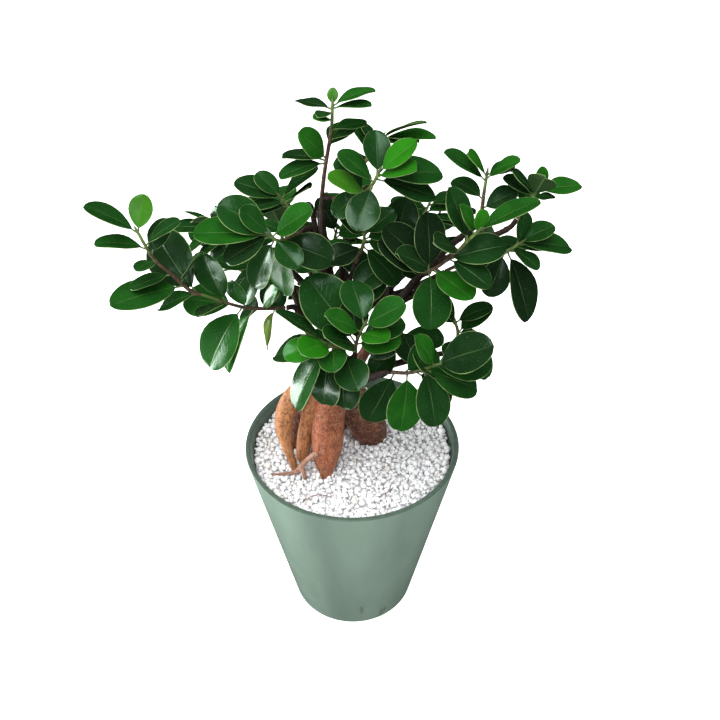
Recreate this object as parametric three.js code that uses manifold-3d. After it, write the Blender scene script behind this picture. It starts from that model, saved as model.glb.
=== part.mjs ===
// Ginseng ficus in a round pot, in millimetres, +Z up.
// The origin is the middle of the pot's flat base; -Y is the side that faces the viewer.

import * as THREE from "three";
import { mergeVertices } from "three/addons/utils/BufferGeometryUtils.js";
import Module from "manifold-3d";

const wasm = await Module();
wasm.setup();

// Pot: a plain tapered tub with a flat rim
const POT_HEIGHT = 147;
const RIM_RADIUS = 75;
const BASE_RADIUS = 46;
const WALL = 3.6;
const POT_FLOOR = 4;
const EDGE = 1;
const POT_SIDES = 36;

// Filling: potting mix below, white perlite on top
const MIX_TOP = 133.5;
const PERLITE_TOP = 139.6;
const PERLITE_BUMP = 0.9;
const PERLITE_RINGS = 6;
const SEAT_GAP = 0.3;

// Leaves: shares of the leaf's length, thicknesses in millimetres
const STALK_SHARE = 0.12;
const STALK_RADIUS = 0.8;
const WIDTH_RATIO = 0.68;
const MIDRIB_THICK = 0.9;
const MARGIN_THICK = 0.64;
const BLADE_STATIONS = [0.38, 0.8];
const FOLD = THREE.MathUtils.degToRad(8);
const DROOP = 0.32;
const GOLDEN_ANGLE = 137.5;

// The way that blades face: along the stem, up, and forwards or back by a shoot's "faces"
const FACE_ALONG = 0.55;
const FACE_UP = 0.75;
const FACE_LEVEL = 0.8;
const FACES = -0.2;

// Shoots: stem radii, the straight lead into a stem, and the room kept round each leaf
const STEM_START = 1.5;
const STEM_END = 1;
const STEM_LEAD = 6;
const CLEARANCE = 1.1;
const GUARD_SWELL = 0.8;
const GUARD_REACH = 1.5;
const LOWEST_LEAF = 152;

// Mesh detail: sides round a tube, and steps along it
const ROOT_MESH = [8, 6];
const THIN_ROOT_MESH = [5, 4];
const NECK_MESH = [10, 5];
const STEM_SIDES = 4;
const TRUNK_GUARD_MESH = [8, 8];
const LIMB_GUARD_MESH = [4, 8];

// Swollen roots, and the thin roots that lie on the perlite: x, y, z, radius
const ROOTS = [
  [[-39.5, -21, 128, 2], [-40.5, -20, 144, 2.6], [-44, -18, 158, 3.6], [-45.5, -15, 171, 5.6],
    [-45, -12, 182, 6.3], [-37, -8, 196, 7], [-20, -3, 206, 8]],
  [[-35, -12, 128, 2.6], [-35, -12, 140, 4], [-33.5, -11, 153, 5.2], [-31.5, -10, 167, 5.2],
    [-27.5, -8, 183, 5], [-18, -4, 198, 6]],
  [[-18.3, -26, 128, 2], [-18.2, -25, 140, 4.6], [-17.8, -23, 150, 8.2],
    [-17, -20.5, 162, 10.2], [-16, -17.5, 177, 10.6], [-13, -10, 196, 10], [-9, -2, 206, 9]],
  [[15, 18, 126, 8], [13, 14, 141, 12], [9, 10, 158, 13.5], [2, 5, 177, 12.5],
    [-5, 2, 196, 11]],
  [[-12, 28, 126, 8], [-13, 23, 145, 10], [-12, 16, 164, 10.5], [-10, 8, 184, 11],
    [-8, 3, 201, 10]],
  [[-41, 4, 128, 4], [-40, 3, 146, 5], [-37, 2, 165, 6], [-30, 1, 184, 7], [-20, 0, 200, 8]],
];
const THIN_ROOTS = [
  [[-21, -27, 162, 2.4], [-28, -27, 157, 1.9], [-34, -24, 147, 1.8], [-39, -26, 142, 1.7],
    [-47, -27, 141.4, 1.2], [-56, -27, 141, 0.8]],
  [[-35, -24.5, 146, 1.6], [-33, -28, 143, 1.6], [-32, -32, 140.5, 1.3]],
];
const NECK = [[-11, 0, 186, 13], [-10, 1, 200, 12.5], [-8, 2, 209, 10.5], [-7, 2, 214, 6]];

// Woody limbs: the middle points of each route, and the shoot that it carries
const LIMBS = [
  { to: "shoot_front", route: [[-4, -4, 202, 3.8], [-2, -24, 228, 3], [0, -40, 249, 2.3]] },
  { to: "shoot_front_low", route: [[-1.4, -31, 237, 2.2], [-1, -44, 249, 1.9]] },
  { to: "shoot_right_low", route: [[0, -4, 201, 3.6], [8, -20, 218, 2.8], [16, -33, 232, 2.2]] },
  { to: "shoot_left_low", route: [[-12, -1, 203, 4.2], [-20, -10, 236, 3.2], [-29, -17, 260, 2.6]] },
  { to: "shoot_left_inner", route: [[-21, -11, 240, 2.4], [-32, -4, 262, 2]] },
  { to: "shoot_right_mid", route: [[0, 2, 204, 4.2], [14, -5, 240, 3.4], [29, -15, 275, 2.5]] },
  { to: "shoot_right_inner", route: [[12, -4, 234, 2.4], [20, -1, 257, 2]] },
  { to: "shoot_right_high", route: [[21, -9, 257, 2.6], [44, 2, 284, 2.3], [67, 14, 301, 1.9]] },
  { to: "shoot_right_tip", route: [[43, 1, 283, 2.2], [68, 5, 298, 2], [87, 9, 305, 1.8]] },
  { to: "shoot_right_side", route: [[28, -14, 272, 2.4], [52, -12, 286, 2.1], [73, -13, 297, 1.8]] },
  { to: "shoot_right_high_back", route: [[13, -4, 238, 2.6], [24, 14, 262, 2.2], [33, 27, 281, 1.9]] },
  { to: "shoot_right_back_low", route: [[0, 2, 203, 3], [20, -3, 214, 2.4], [46, -7, 226, 2]] },
  { to: "shoot_low_centre", route: [[2, -2, 202, 2.8], [15, -3, 212, 2.2]] },
  { to: "shoot_top", route: [[-8, 3, 204, 4.8], [-10, 4, 245, 3.9], [-14, 1, 290, 2.8]] },
  { to: "shoot_crown", route: [[-15.4, 0, 304, 2.2], [-16, -6, 324, 1.8]] },
  { to: "shoot_left_high", route: [[-14, 1, 286, 2.2], [-20, 5, 306, 1.9]] },
  { to: "shoot_left_mid", route: [[-13, 2, 270, 2.4], [-17, -8, 296, 2.1], [-20, -19, 315, 1.9]] },
  { to: "shoot_back_high", route: [[-9, 5, 236, 2.8], [-5, 26, 278, 2.2], [0, 36, 308, 1.9]] },
  { to: "shoot_centre", route: [[-10, 5, 240, 2.3], [-13, 14, 260, 1.9]] },
  { to: "shoot_inner", route: [[-10, 4, 244, 2.4], [-4, -1, 270, 1.9]] },
  { to: "shoot_left_back", route: [[-10, 4, 230, 2.8], [-26, 14, 262, 2.3], [-45, 20, 282, 1.9]] },
  { to: "shoot_side_left", route: [[-25, 13, 260, 2.4], [-44, 24, 262, 2]] },
  { to: "shoot_back_mid", route: [[-8, 5, 203, 3.6], [-6, 22, 230, 3], [-4, 38, 252, 2.2]] },
  { to: "shoot_back_left", route: [[-6.5, 18, 225, 2.6], [-20, 34, 246, 2]] },
  { to: "shoot_back_right", route: [[-6.5, 18, 225, 2.8], [16, 30, 244, 2.1]] },
  { to: "shoot_side_right", route: [[14, 29, 243, 2.2], [40, 34, 252, 1.9]] },
  { to: "shoot_back_low", route: [[-8, 6, 202, 2.8], [-10, 26, 210, 2.2]] },
];

// Leafy shoots, those nearest the viewer first.
// A leaf's row: place along the stem (0 to 1), compass angle, rise angle, length, and the way
// that it faces where that differs from its shoot's.
// faces: the way that the shoot's blades face, from the viewer's side (-) to the back (+).
// more: how many further leaves the spiral rule adds, their length and its first angle.
const SHOOTS = [
  {
    name: "shoot_front", faces: -0.3, more: [2, 26, 40],
    route: [[2, -50, 262], [3, -54, 273], [7, -58, 287]],
    leaves: [[1, 108, 30, 28], [0.95, -6, 35, 28], [0.72, -47, 49, 26], [0.8, -160, 46, 26],
      [0.4, 147, 45, 47, -0.8], [0.5, 106, 57, 38], [0.35, -165, 36, 34], [0.4, -18, 14, 27]],
  },
  {
    name: "shoot_front_low", faces: -0.4, more: [1, 26, 60],
    route: [[-2, -53, 261], [-8, -57, 270], [-14, -59, 275]],
    leaves: [[1, -161, -8, 25], [0.92, -128, 17, 25, -1], [0.85, 174, -20, 34, 0.1],
      [0.97, 164, 29, 34, 0.7], [0.6, -90, -1, 23], [0.15, -74, -12, 28],
      [0.9, -148, -59, 43, 0.15], [0.65, -125, -68, 38], [0.2, -90, -80, 36]],
  },
  {
    name: "shoot_right_low", faces: -0.4, more: [2, 28, 200],
    route: [[24, -42, 241], [35, -50, 247], [48, -56, 257]],
    leaves: [[0.4, -108, -66, 36], [0.07, -155, -60, 36], [0.76, -75, -50, 34],
      [1, -14, 30, 37], [0.97, 180, 58, 24], [1, -60, 42, 17], [0.9, 8, 0, 36],
      [0.76, 0, -27, 36], [0.6, 9, -49, 34]],
  },
  {
    name: "shoot_left_low", faces: -0.35, more: [2, 26, 20],
    route: [[-39, -20, 273], [-62, -24, 276], [-86, -28, 288]],
    leaves: [[0.62, 170, -5, 34], [0.73, 165, 72, 34], [0.5, 180, 72, 20],
      [0.54, -141, -52, 42, -0.9], [0.4, -134, -57, 42, 0.15], [0.3, -19, 43, 20],
      [0.14, -135, -75, 28, 0]],
  },
  {
    name: "shoot_left_tip", faces: 0, after: "shoot_left_low", more: [1, 24, 90],
    route: [[-100, -30, 302], [-109, -31, 314], [-115, -31, 330]],
    leaves: [[1, 60, 62, 21, -1.2], [1, -171, 33, 31], [0.85, -165, 12, 28],
      [0.95, -165, 32, 18], [0.72, -130, 15, 16, -0.9], [0.78, 60, 40, 23, -0.9],
      [0.88, 17, 28, 24], [0.1, 132, 34, 44, -0.8], [0.4, -14, 53, 26],
      [0.36, -150, 0, 43, -0.4], [0.12, -175, -14, 25]],
  },
  {
    name: "shoot_right_mid", faces: -0.2, more: [1, 28, 120],
    route: [[42, -24, 299], [49, -30, 307], [58, -36, 320], [67, -40, 334]],
    leaves: [[1, 0, 84, 14], [1, 12, 22, 37, 0.5], [0.96, 167, 60, 19], [0.7, -145, 30, 22],
      [0.85, 143, 62, 31], [0.5, 0, 14, 33], [0.2, -45, -14, 30], [0.12, -91, -50, 34],
      [0.16, -159, 34, 27], [0.11, 106, 74, 34], [0.06, 164, 62, 36], [0.02, 180, 45, 34]],
  },
  {
    name: "shoot_left_mid", faces: -0.1, more: [1, 26, 10],
    route: [[-27, -26, 327], [-38, -34, 326], [-43, -40, 333]],
    leaves: [[0.96, -161, -24, 28], [0.78, -45, -28, 22], [0.6, -7, 0, 32], [0.9, -10, 37, 29],
      [1, -174, 4, 40, 0.25], [1, 174, -9, 36, 0.15], [0.76, -160, -65, 31],
      [0.48, -30, -80, 34], [1, -172, 49, 22], [0.95, 173, 21, 32]],
  },
  {
    name: "shoot_crown", faces: -0.2, more: [1, 26, 300],
    route: [[-10, -8, 338], [1, -14, 341], [11, -20, 351], [15, -22, 360]],
    leaves: [[1, 6, 38, 26], [0.94, 84, 62, 24], [0.55, -157, 28, 25], [0.77, 168, 37, 25],
      [0.9, -22, 20, 24], [0.7, -112, -35, 28], [0.86, 0, -20, 35], [0.95, 16, -7, 37],
      [0.55, 180, -37, 22]],
  },
  {
    name: "shoot_top", faces: 0.1, more: [1, 22, 250],
    route: [[-17, -2, 329], [-14, -4, 353], [-10, -5, 376], [-9, -5, 390]],
    leaves: [[1, 84, 72, 9], [1, 20, 14, 24], [0.97, 0, 6, 21], [0.96, 165, 5, 21],
      [0.9, -131, 25, 12], [0.8, -140, 25, 13, -0.4], [0.68, 24, 0, 21],
      [0.43, -150, 48, 25, -1.2], [0.58, 23, 27, 17], [0.53, -156, -12, 22],
      [0.4, -169, -15, 27], [0.42, 162, -13, 26]],
  },
  {
    name: "shoot_left_high", faces: 0, more: [2, 27, 80],
    route: [[-29, 8, 325], [-35, 8, 325], [-40, 6, 332]],
    leaves: [[0.97, 156, 37, 20], [0.95, -10, 40, 30], [0.8, -155, 15, 22], [0.92, 172, 17, 29],
      [0.53, -173, -4, 33]],
  },
  {
    name: "shoot_right_side", faces: 0, more: [1, 26, 170],
    route: [[87, -14, 305], [92, -16, 310], [96, -17, 314]],
    leaves: [[0.87, 4, -9, 32], [0.98, 12, 22, 22], [0.83, 54, 68, 20], [0.45, -37, -23, 20],
      [0.3, -45, -64, 44, 0], [0.14, -144, -50, 27]],
  },
  {
    name: "shoot_right_high", faces: -0.5, more: [2, 24, 60],
    route: [[79, 20, 314], [80, 24, 326], [81, 26, 336]],
    leaves: [[0.82, -178, 33, 32, -0.3], [0.96, -160, 49, 22], [0.88, -30, 36, 25],
      [1, 17, 23, 18], [0.1, 0, 60, 26, -0.9]],
  },
  {
    name: "shoot_right_tip", faces: -0.5, more: [2, 24, 200],
    route: [[99, 12, 314], [106, 14, 324], [110, 16, 331]],
    leaves: [[0.74, -173, 45, 23], [1, 64, 76, 14], [0.96, 0, 5, 26], [0.67, -31, 17, 13],
      [0.69, 153, 55, 24]],
  },
  {
    name: "shoot_inner", faces: -0.4, more: [2, 28, 30],
    route: [[3, -6, 295], [7, -10, 309], [8, -12, 319]],
    leaves: [[0.7, -22, 0, 26], [0.5, -10, -44, 31], [0.44, -155, -11, 24], [0.9, -169, 43, 20],
      [0.9, 8, 33, 22]],
  },
  {
    name: "shoot_back_high", faces: -0.25, more: [3, 27, 150],
    route: [[5, 40, 331], [12, 46, 340], [19, 50, 349]],
    leaves: [[1, -28, 26, 32], [1, -19, 15, 34], [0.77, 159, 45, 18], [0.49, 146, 53, 24]],
  },
  {
    name: "shoot_right_back_low", more: [3, 27, 100],
    route: [[66, -10, 237], [66, -12, 248], [64, -12, 256]],
    leaves: [[1, 180, 51, 20], [1, 0, 25, 24], [0.57, 18, -34, 24], [0.3, -20, -40, 34]],
  },
  {
    name: "shoot_right_inner", faces: -0.4, more: [1, 27, 60],
    route: [[24, 0, 277], [25, -2, 293], [26, -6, 307]],
    leaves: [[1, -152, 38, 30], [0.9, 0, 30, 28], [0.7, -145, -26, 30], [0.7, -26, -38, 28],
      [1, 56, 66, 28], [0.34, -158, -32, 28], [0.4, -10, -20, 28]],
  },
  {
    name: "shoot_centre", faces: -0.4, more: [1, 27, 100],
    route: [[-14, 22, 279], [-11, 20, 292], [-9, 18, 302]],
    leaves: [[0.66, -156, 20, 28], [0.77, -7, 30, 28], [1, 153, 58, 24], [0.44, -156, -20, 28],
      [0.55, -29, -30, 28], [1, -31, 5, 24]],
  },
  {
    name: "shoot_left_inner", more: [1, 25, 50],
    route: [[-43, 2, 281], [-51, 0, 285], [-56, -2, 291]],
    leaves: [[0.86, -127, -50, 24], [0.54, -49, -62, 24], [0.95, -172, 10, 26],
      [0.73, 130, 60, 22], [0.27, -8, -25, 22]],
  },
  {
    name: "shoot_left_back", faces: -0.3, more: [1, 26, 140],
    route: [[-60, 24, 293], [-74, 30, 295], [-84, 34, 296]],
    leaves: [[1, 180, 2, 27], [0.94, 162, 0, 25, 0.3], [0.9, -148, -24, 24],
      [0.85, 151, 44, 20], [0.66, 60, 55, 22], [0.5, -127, -38, 24], [1, -149, 45, 20]],
  },
  {
    name: "shoot_right_high_back", faces: 0, more: [2, 26, 10],
    route: [[38, 34, 294], [45, 40, 300], [49, 42, 308]],
    leaves: [[1, 23, -5, 28], [0.9, -154, 15, 27], [0.54, -21, 0, 28], [0.46, -159, -8, 27],
      [0.2, 72, 30, 22]],
  },
  {
    name: "shoot_low_centre", faces: -0.4, more: [2, 26, 300],
    route: [[25, -4, 224], [30, -8, 238], [31, -10, 250]],
    leaves: [[0.96, -73, -14, 28], [0.78, -20, 0, 28], [0.9, -124, -4, 27], [1, 163, 62, 24],
      [0.39, -143, -36, 26]],
  },
  {
    name: "shoot_back_left", more: [6, 29, 0],
    route: [[-30, 45, 262], [-42, 58, 275], [-50, 66, 292]],
    leaves: [],
  },
  {
    name: "shoot_back_mid", more: [6, 29, 45],
    route: [[-2, 48, 268], [0, 60, 285], [2, 68, 303]],
    leaves: [],
  },
  {
    name: "shoot_back_right", more: [6, 29, 90],
    route: [[38, 42, 262], [50, 54, 275], [58, 60, 292]],
    leaves: [],
  },
  {
    name: "shoot_side_left", more: [6, 29, 30],
    route: [[-62, 32, 262], [-80, 40, 268], [-92, 44, 278]],
    leaves: [],
  },
  {
    name: "shoot_side_right", more: [6, 29, 120],
    route: [[62, 38, 262], [78, 44, 268], [90, 48, 278]],
    leaves: [],
  },
  {
    name: "shoot_back_low", more: [6, 29, 20],
    route: [[-12, 48, 222], [-18, 60, 230], [-22, 70, 242]],
    leaves: [],
  },
];

// Turns that a leaf may make to clear its neighbours, in the order tried:
// compass turn, rise turn, share of its length
const TURNS = [
  [0, 0, 1], [10, 0, 1], [-10, 0, 1], [0, 10, 1], [0, -10, 1],
  [10, 10, 1], [-10, 10, 1], [10, -10, 1], [-10, -10, 1], [0, 0, 0.85],
  [20, 0, 1], [-20, 0, 1], [0, 20, 1], [0, -20, 1],
  [20, 12, 0.9], [-20, 12, 0.9], [20, -12, 0.9], [-20, -12, 0.9],
  [32, 0, 0.9], [-32, 0, 0.9], [0, 32, 0.9], [0, -32, 0.9],
  [14, 14, 0.75], [-14, 14, 0.75], [14, -14, 0.75], [-14, -14, 0.75],
  [42, 16, 0.8], [-42, 16, 0.8], [42, -16, 0.8], [-42, -16, 0.8],
  [0, 0, 0.65], [24, 0, 0.65], [-24, 0, 0.65], [0, 24, 0.65], [0, -24, 0.65],
];

// Points are plain [x, y, z] lists
const add = (a, b) => [a[0] + b[0], a[1] + b[1], a[2] + b[2]];
const sub = (a, b) => [a[0] - b[0], a[1] - b[1], a[2] - b[2]];
const times = (a, s) => [a[0] * s, a[1] * s, a[2] * s];
const dot = (a, b) => a[0] * b[0] + a[1] * b[1] + a[2] * b[2];
const cross = (a, b) => [
  a[1] * b[2] - a[2] * b[1], a[2] * b[0] - a[0] * b[2], a[0] * b[1] - a[1] * b[0],
];
const unit = (a) => times(a, 1 / Math.sqrt(dot(a, a)));
const radians = THREE.MathUtils.degToRad;
const degrees = THREE.MathUtils.radToDeg;

// A direction from its compass angle (0 = +X, 90 = +Y) and its rise above level
function compass(turn, rise) {
  const a = radians(turn);
  const e = radians(rise);
  return [Math.cos(a) * Math.cos(e), Math.sin(a) * Math.cos(e), Math.sin(e)];
}

// A repeatable value from -1 to 1 for a whole number
function jitter(n) {
  const x = Math.sin(n * 12.9898) * 43758.5453;
  return 2 * (x - Math.floor(x)) - 1;
}

// A smooth curve through the route's points, u from 0 to 1; works on radii too
function onRoute(route, u) {
  const last = route.length - 1;
  const s = Math.min(Math.max(u, 0), 1) * last;
  const i = Math.min(Math.floor(s), last - 1);
  const t = s - i;
  return route[i].map((b, k) => {
    const c = route[i + 1][k];
    const a = i > 0 ? route[i - 1][k] : 2 * b - c;
    const d = i + 2 <= last ? route[i + 2][k] : 2 * c - b;
    return 0.5 * (2 * b + (c - a) * t + (2 * a - 5 * b + 4 * c - d) * t * t
      + (3 * b - a - 3 * c + d) * t * t * t);
  });
}

function heading(route, u) {
  const ahead = onRoute(route, Math.min(u + 0.02, 1));
  return unit(sub(ahead, onRoute(route, Math.max(u - 0.02, 0))));
}

// A closed mesh through rings of points, which may differ in count; each ring runs
// anticlockwise about the way ahead, and a ring of 2 closes to an edge
function loft(rings) {
  const points = rings.flat();
  const faces = [];
  let start = 0;
  for (let r = 0; r + 1 < rings.length; r += 1) {
    const n = rings[r].length;
    const m = rings[r + 1].length;
    const next = start + n;
    let i = 0;
    let j = 0;
    while (i < n || j < m) {
      const a = start + (i % n);
      const b = next + (j % m);
      if (j >= m || (i < n && (i + 1) / n <= (j + 1) / m)) {
        i += 1;
        faces.push(a, start + (i % n), b);
      } else {
        j += 1;
        faces.push(a, next + (j % m), b);
      }
    }
    start = next;
  }
  const end = rings.at(-1).length;
  for (let k = 1; k + 1 < rings[0].length; k += 1) faces.push(0, k + 1, k);
  for (let k = 1; k + 1 < end; k += 1) faces.push(start, start + k, start + k + 1);
  const geometry = new THREE.BufferGeometry();
  geometry.setAttribute("position", new THREE.Float32BufferAttribute(points.flat(), 3));
  geometry.setIndex(faces);
  return geometry;
}

// Rings round a route whose points carry their own radius
function tubeRings(route, sides, steps, swell = 0) {
  const rings = [];
  let across = unit(cross(heading(route, 0), [0.3, 0.8, 0.52]));
  for (let s = 0; s <= steps; s += 1) {
    const u = s / steps;
    const ahead = heading(route, u);
    across = unit(sub(across, times(ahead, dot(across, ahead))));
    const up = cross(ahead, across);
    const centre = onRoute(route, u);
    const radius = centre[3] + swell;
    const ring = [];
    for (let k = 0; k < sides; k += 1) {
      const a = (2 * Math.PI * k) / sides;
      const out = add(times(across, Math.cos(a)), times(up, Math.sin(a)));
      ring.push(add(centre, times(out, radius)));
    }
    rings.push(ring);
  }
  return rings;
}

// Solids

function toSolid(geometry) {
  const bare = geometry.clone();
  bare.deleteAttribute("normal");
  bare.deleteAttribute("uv");
  const merged = mergeVertices(bare, 1e-4);
  return new wasm.Manifold(new wasm.Mesh({
    numProp: 3,
    vertProperties: merged.attributes.position.array,
    triVerts: new Uint32Array(merged.index.array),
  }));
}

function toGeometry(solid) {
  const mesh = solid.getMesh();
  const geometry = new THREE.BufferGeometry();
  geometry.setAttribute("position", new THREE.BufferAttribute(mesh.vertProperties, 3));
  geometry.setIndex(new THREE.BufferAttribute(mesh.triVerts, 1));
  const flat = geometry.toNonIndexed();
  flat.computeVertexNormals();
  return flat;
}

const joined = (geometries) => geometries.map(toSolid).reduce((all, one) => all.add(one));

// The leaf's shape

// Half width of the blade along it, 0 to 1: a narrow foot, widest past the middle
function outline(t) {
  return Math.max(Math.sin(Math.PI * t ** 1.15), 0) ** (0.64 - 0.16 * t);
}

// The blade is a bent sheet: its chord follows the leaf's direction, and it droops to the tip
function makeLeaf(shoot, number, [u, turn, rise, length, faces]) {
  const bend = DROOP + 0.2 * jitter(number);
  const ratio = WIDTH_RATIO + 0.05 * jitter(number + 500);
  const chord = compass(turn, rise);
  const level = FACE_LEVEL * (faces ?? shoot.faces ?? FACES);
  const towards = add(times(heading(shoot.route, u), FACE_ALONG), [0, level, FACE_UP]);
  const face = unit(sub(towards, times(chord, dot(towards, chord))));
  const ahead = add(times(chord, Math.cos(bend / 2)), times(face, Math.sin(bend / 2)));
  const up = unit(sub(face, times(ahead, dot(face, ahead))));
  const side = cross(ahead, up);
  return { shoot, root: onRoute(shoot.route, u), ahead, up, side, length, ratio, bend };
}

// A point of the blade: t along it, across -1 to 1, raised off its face, its edge grown
function onBlade(leaf, t, across, raise = 0, grow = 0) {
  const stalk = leaf.length * STALK_SHARE;
  const blade = leaf.length - stalk;
  const a = leaf.bend * t;
  const forward = stalk + (blade * Math.sin(a)) / leaf.bend;
  const down = (blade * (1 - Math.cos(a))) / leaf.bend;
  const centre = add(leaf.root, add(times(leaf.ahead, forward), times(leaf.up, -down)));
  const up = add(times(leaf.up, Math.cos(a)), times(leaf.ahead, Math.sin(a)));
  const ahead = add(times(leaf.ahead, Math.cos(a)), times(leaf.up, -Math.sin(a)));
  const half = Math.max(0.5 * leaf.ratio * leaf.length * outline(t) + grow, STALK_RADIUS + grow);
  const lift = Math.abs(across) * half * Math.sin(FOLD) + raise;
  const beyond = t >= 1 ? grow : 0;
  const flat = add(centre, times(leaf.side, across * half * Math.cos(FOLD)));
  return add(add(flat, times(up, lift)), times(ahead, beyond));
}

function leafGeometry(leaf) {
  const round = (centre) => [0, 120, 240].map((degree) => {
    const up = times(leaf.up, STALK_RADIUS * Math.cos(radians(degree)));
    return add(add(centre, up), times(leaf.side, STALK_RADIUS * Math.sin(radians(degree))));
  });
  const rib = MIDRIB_THICK / 2;
  const margin = MARGIN_THICK / 2;
  const rings = [round(leaf.root), round(onBlade(leaf, 0, 0))];
  for (const t of BLADE_STATIONS) {
    rings.push([
      onBlade(leaf, t, 0, rib), onBlade(leaf, t, 1, margin), onBlade(leaf, t, 1, -margin),
      onBlade(leaf, t, 0, -rib), onBlade(leaf, t, -1, -margin), onBlade(leaf, t, -1, margin),
    ]);
  }
  rings.push([onBlade(leaf, 1, 0, margin), onBlade(leaf, 1, 0, -margin)]);
  return loft(rings);
}

// Clearance: a leaf is kept where its blade, swollen by CLEARANCE, crosses nothing

const SHEET_FACES = [
  [0, 1, 2], [0, 2, 3], [1, 4, 5], [1, 5, 2], [2, 5, 6], [2, 6, 3], [4, 7, 5], [5, 7, 6],
];
const SHEET_EDGES = [
  [0, 1], [0, 2], [0, 3], [1, 2], [2, 3], [1, 4], [1, 5], [2, 5],
  [2, 6], [3, 6], [4, 5], [5, 6], [4, 7], [5, 7], [6, 7],
];

function sheet(leaf, raise, grow) {
  const points = [onBlade(leaf, 0, 0, raise)];
  for (const t of BLADE_STATIONS) {
    points.push(onBlade(leaf, t, -1, raise, grow));
    points.push(onBlade(leaf, t, 0, raise));
    points.push(onBlade(leaf, t, 1, raise, grow));
  }
  points.push(onBlade(leaf, 1, 0, raise, grow));
  return {
    faces: SHEET_FACES.map((f) => f.map((i) => points[i])),
    edges: SHEET_EDGES.map((e) => e.map((i) => points[i])),
  };
}

// Four lines along the stalk and two ribs through it
function stalk(leaf, radius) {
  const end = onBlade(leaf, 0, 0);
  const lines = [leaf.side, times(leaf.side, -1), leaf.up, times(leaf.up, -1)].map((way) => {
    const off = times(way, radius);
    return [add(leaf.root, off), add(end, off)];
  });
  const faces = [];
  for (const [p, q] of [[lines[0], lines[1]], [lines[2], lines[3]]]) {
    faces.push([p[0], p[1], q[0]], [p[1], q[1], q[0]]);
  }
  return { lines, faces };
}

// Lines along a tube and ribs through it
function tubeGuard(owner, route, sides, steps) {
  const rings = tubeRings(route, sides, steps, GUARD_SWELL);
  const faces = [];
  const edges = [];
  for (let r = 0; r < steps; r += 1) {
    for (let k = 0; k < sides; k += 1) edges.push([rings[r][k], rings[r + 1][k]]);
    for (let k = 0; k < sides / 2; k += 1) {
      const m = k + sides / 2;
      faces.push([rings[r][k], rings[r + 1][k], rings[r][m]]);
      faces.push([rings[r + 1][k], rings[r + 1][m], rings[r][m]]);
    }
  }
  return { owner, faces, edges, stalkFaces: [], box: boxOf([faces.flat(), edges.flat()].flat()) };
}

function boxOf(points) {
  const low = [Infinity, Infinity, Infinity];
  const high = [-Infinity, -Infinity, -Infinity];
  for (const p of points) {
    for (let k = 0; k < 3; k += 1) {
      low[k] = Math.min(low[k], p[k]);
      high[k] = Math.max(high[k], p[k]);
    }
  }
  return { low, high };
}

function apart(a, b, room) {
  return [0, 1, 2].some((k) => a.low[k] > b.high[k] + room || b.low[k] > a.high[k] + room);
}

// Whether the line from p to q passes through the triangle
function pierces([p, q], [a, b, c]) {
  const way = sub(q, p);
  const e1 = sub(b, a);
  const e2 = sub(c, a);
  const h = cross(way, e2);
  const det = dot(e1, h);
  if (Math.abs(det) < 1e-9) return false;
  const s = sub(p, a);
  const u = dot(s, h) / det;
  if (u < 0 || u > 1) return false;
  const w = cross(s, e1);
  const v = dot(way, w) / det;
  if (v < 0 || u + v > 1) return false;
  const t = dot(e2, w) / det;
  return t >= 0 && t <= 1;
}

const anyPierce = (edges, faces) => edges.some((e) => faces.some((f) => pierces(e, f)));

function isClear(leaf, guards) {
  const skins = [-CLEARANCE, 0, CLEARANCE].map((raise) => sheet(leaf, raise, CLEARANCE));
  const faces = skins.flatMap((s) => s.faces);
  const edges = skins.flatMap((s) => s.edges);
  const box = boxOf(faces.flat());
  if (box.low[2] < LOWEST_LEAF) return false;
  const stem = stalk(leaf, 2 * STALK_RADIUS).lines;
  for (const guard of guards) {
    if (apart(guard.box, box, GUARD_REACH)) continue;
    if (anyPierce(edges, guard.faces) || anyPierce(edges, guard.stalkFaces)) return false;
    if (anyPierce(guard.edges, faces)) return false;
    const own = guard.owner === leaf.shoot.name;
    if (!guard.isTube && anyPierce(stem, guard.faces)) return false;
    if (guard.isTube && !own && anyPierce(stem, guard.faces)) return false;
    if (!own && anyPierce(stem, guard.stalkFaces)) return false;
  }
  return true;
}

function leafGuard(leaf) {
  const plain = sheet(leaf, 0, 0);
  const stem = stalk(leaf, STALK_RADIUS);
  const edges = [...plain.edges, ...stem.lines];
  const box = boxOf([...plain.faces.flat(), ...stem.lines.flat()]);
  return {
    owner: leaf.shoot.name, faces: plain.faces, edges, stalkFaces: stem.faces, box,
  };
}

// Growing the leaves

function placeLeaf(plant, shoot, number, [u, turn, rise, length, faces]) {
  for (const [yaw, tilt, share] of TURNS) {
    const row = [u, turn + yaw, rise + tilt, length * share, faces];
    const leaf = makeLeaf(shoot, number, row);
    if (isClear(leaf, plant.guards)) {
      plant.leaves.push(leaf);
      plant.guards.push(leafGuard(leaf));
      return;
    }
  }
}

// Further leaves go round the stem by the golden angle, spread wide low down
function spiralRow(shoot, index) {
  const [count, length, first] = shoot.more;
  const share = (index + 0.5) / count;
  const u = 0.1 + 0.85 * share;
  const ahead = heading(shoot.route, u);
  const across = unit(cross(ahead, [0.2, 0.3, 0.93]));
  const up = cross(ahead, across);
  const angle = radians(first + GOLDEN_ANGLE * index);
  const spread = radians(80 - 35 * share);
  const out = add(times(across, Math.cos(angle)), times(up, Math.sin(angle)));
  const way = add(times(ahead, Math.cos(spread)), times(out, Math.sin(spread)));
  return [u, degrees(Math.atan2(way[1], way[0])), degrees(Math.asin(way[2])), length];
}

function stemRoute(shoot) {
  const last = shoot.route.length - 1;
  return shoot.route.map((p, i) => [...p, STEM_START + ((STEM_END - STEM_START) * i) / last]);
}

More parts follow.
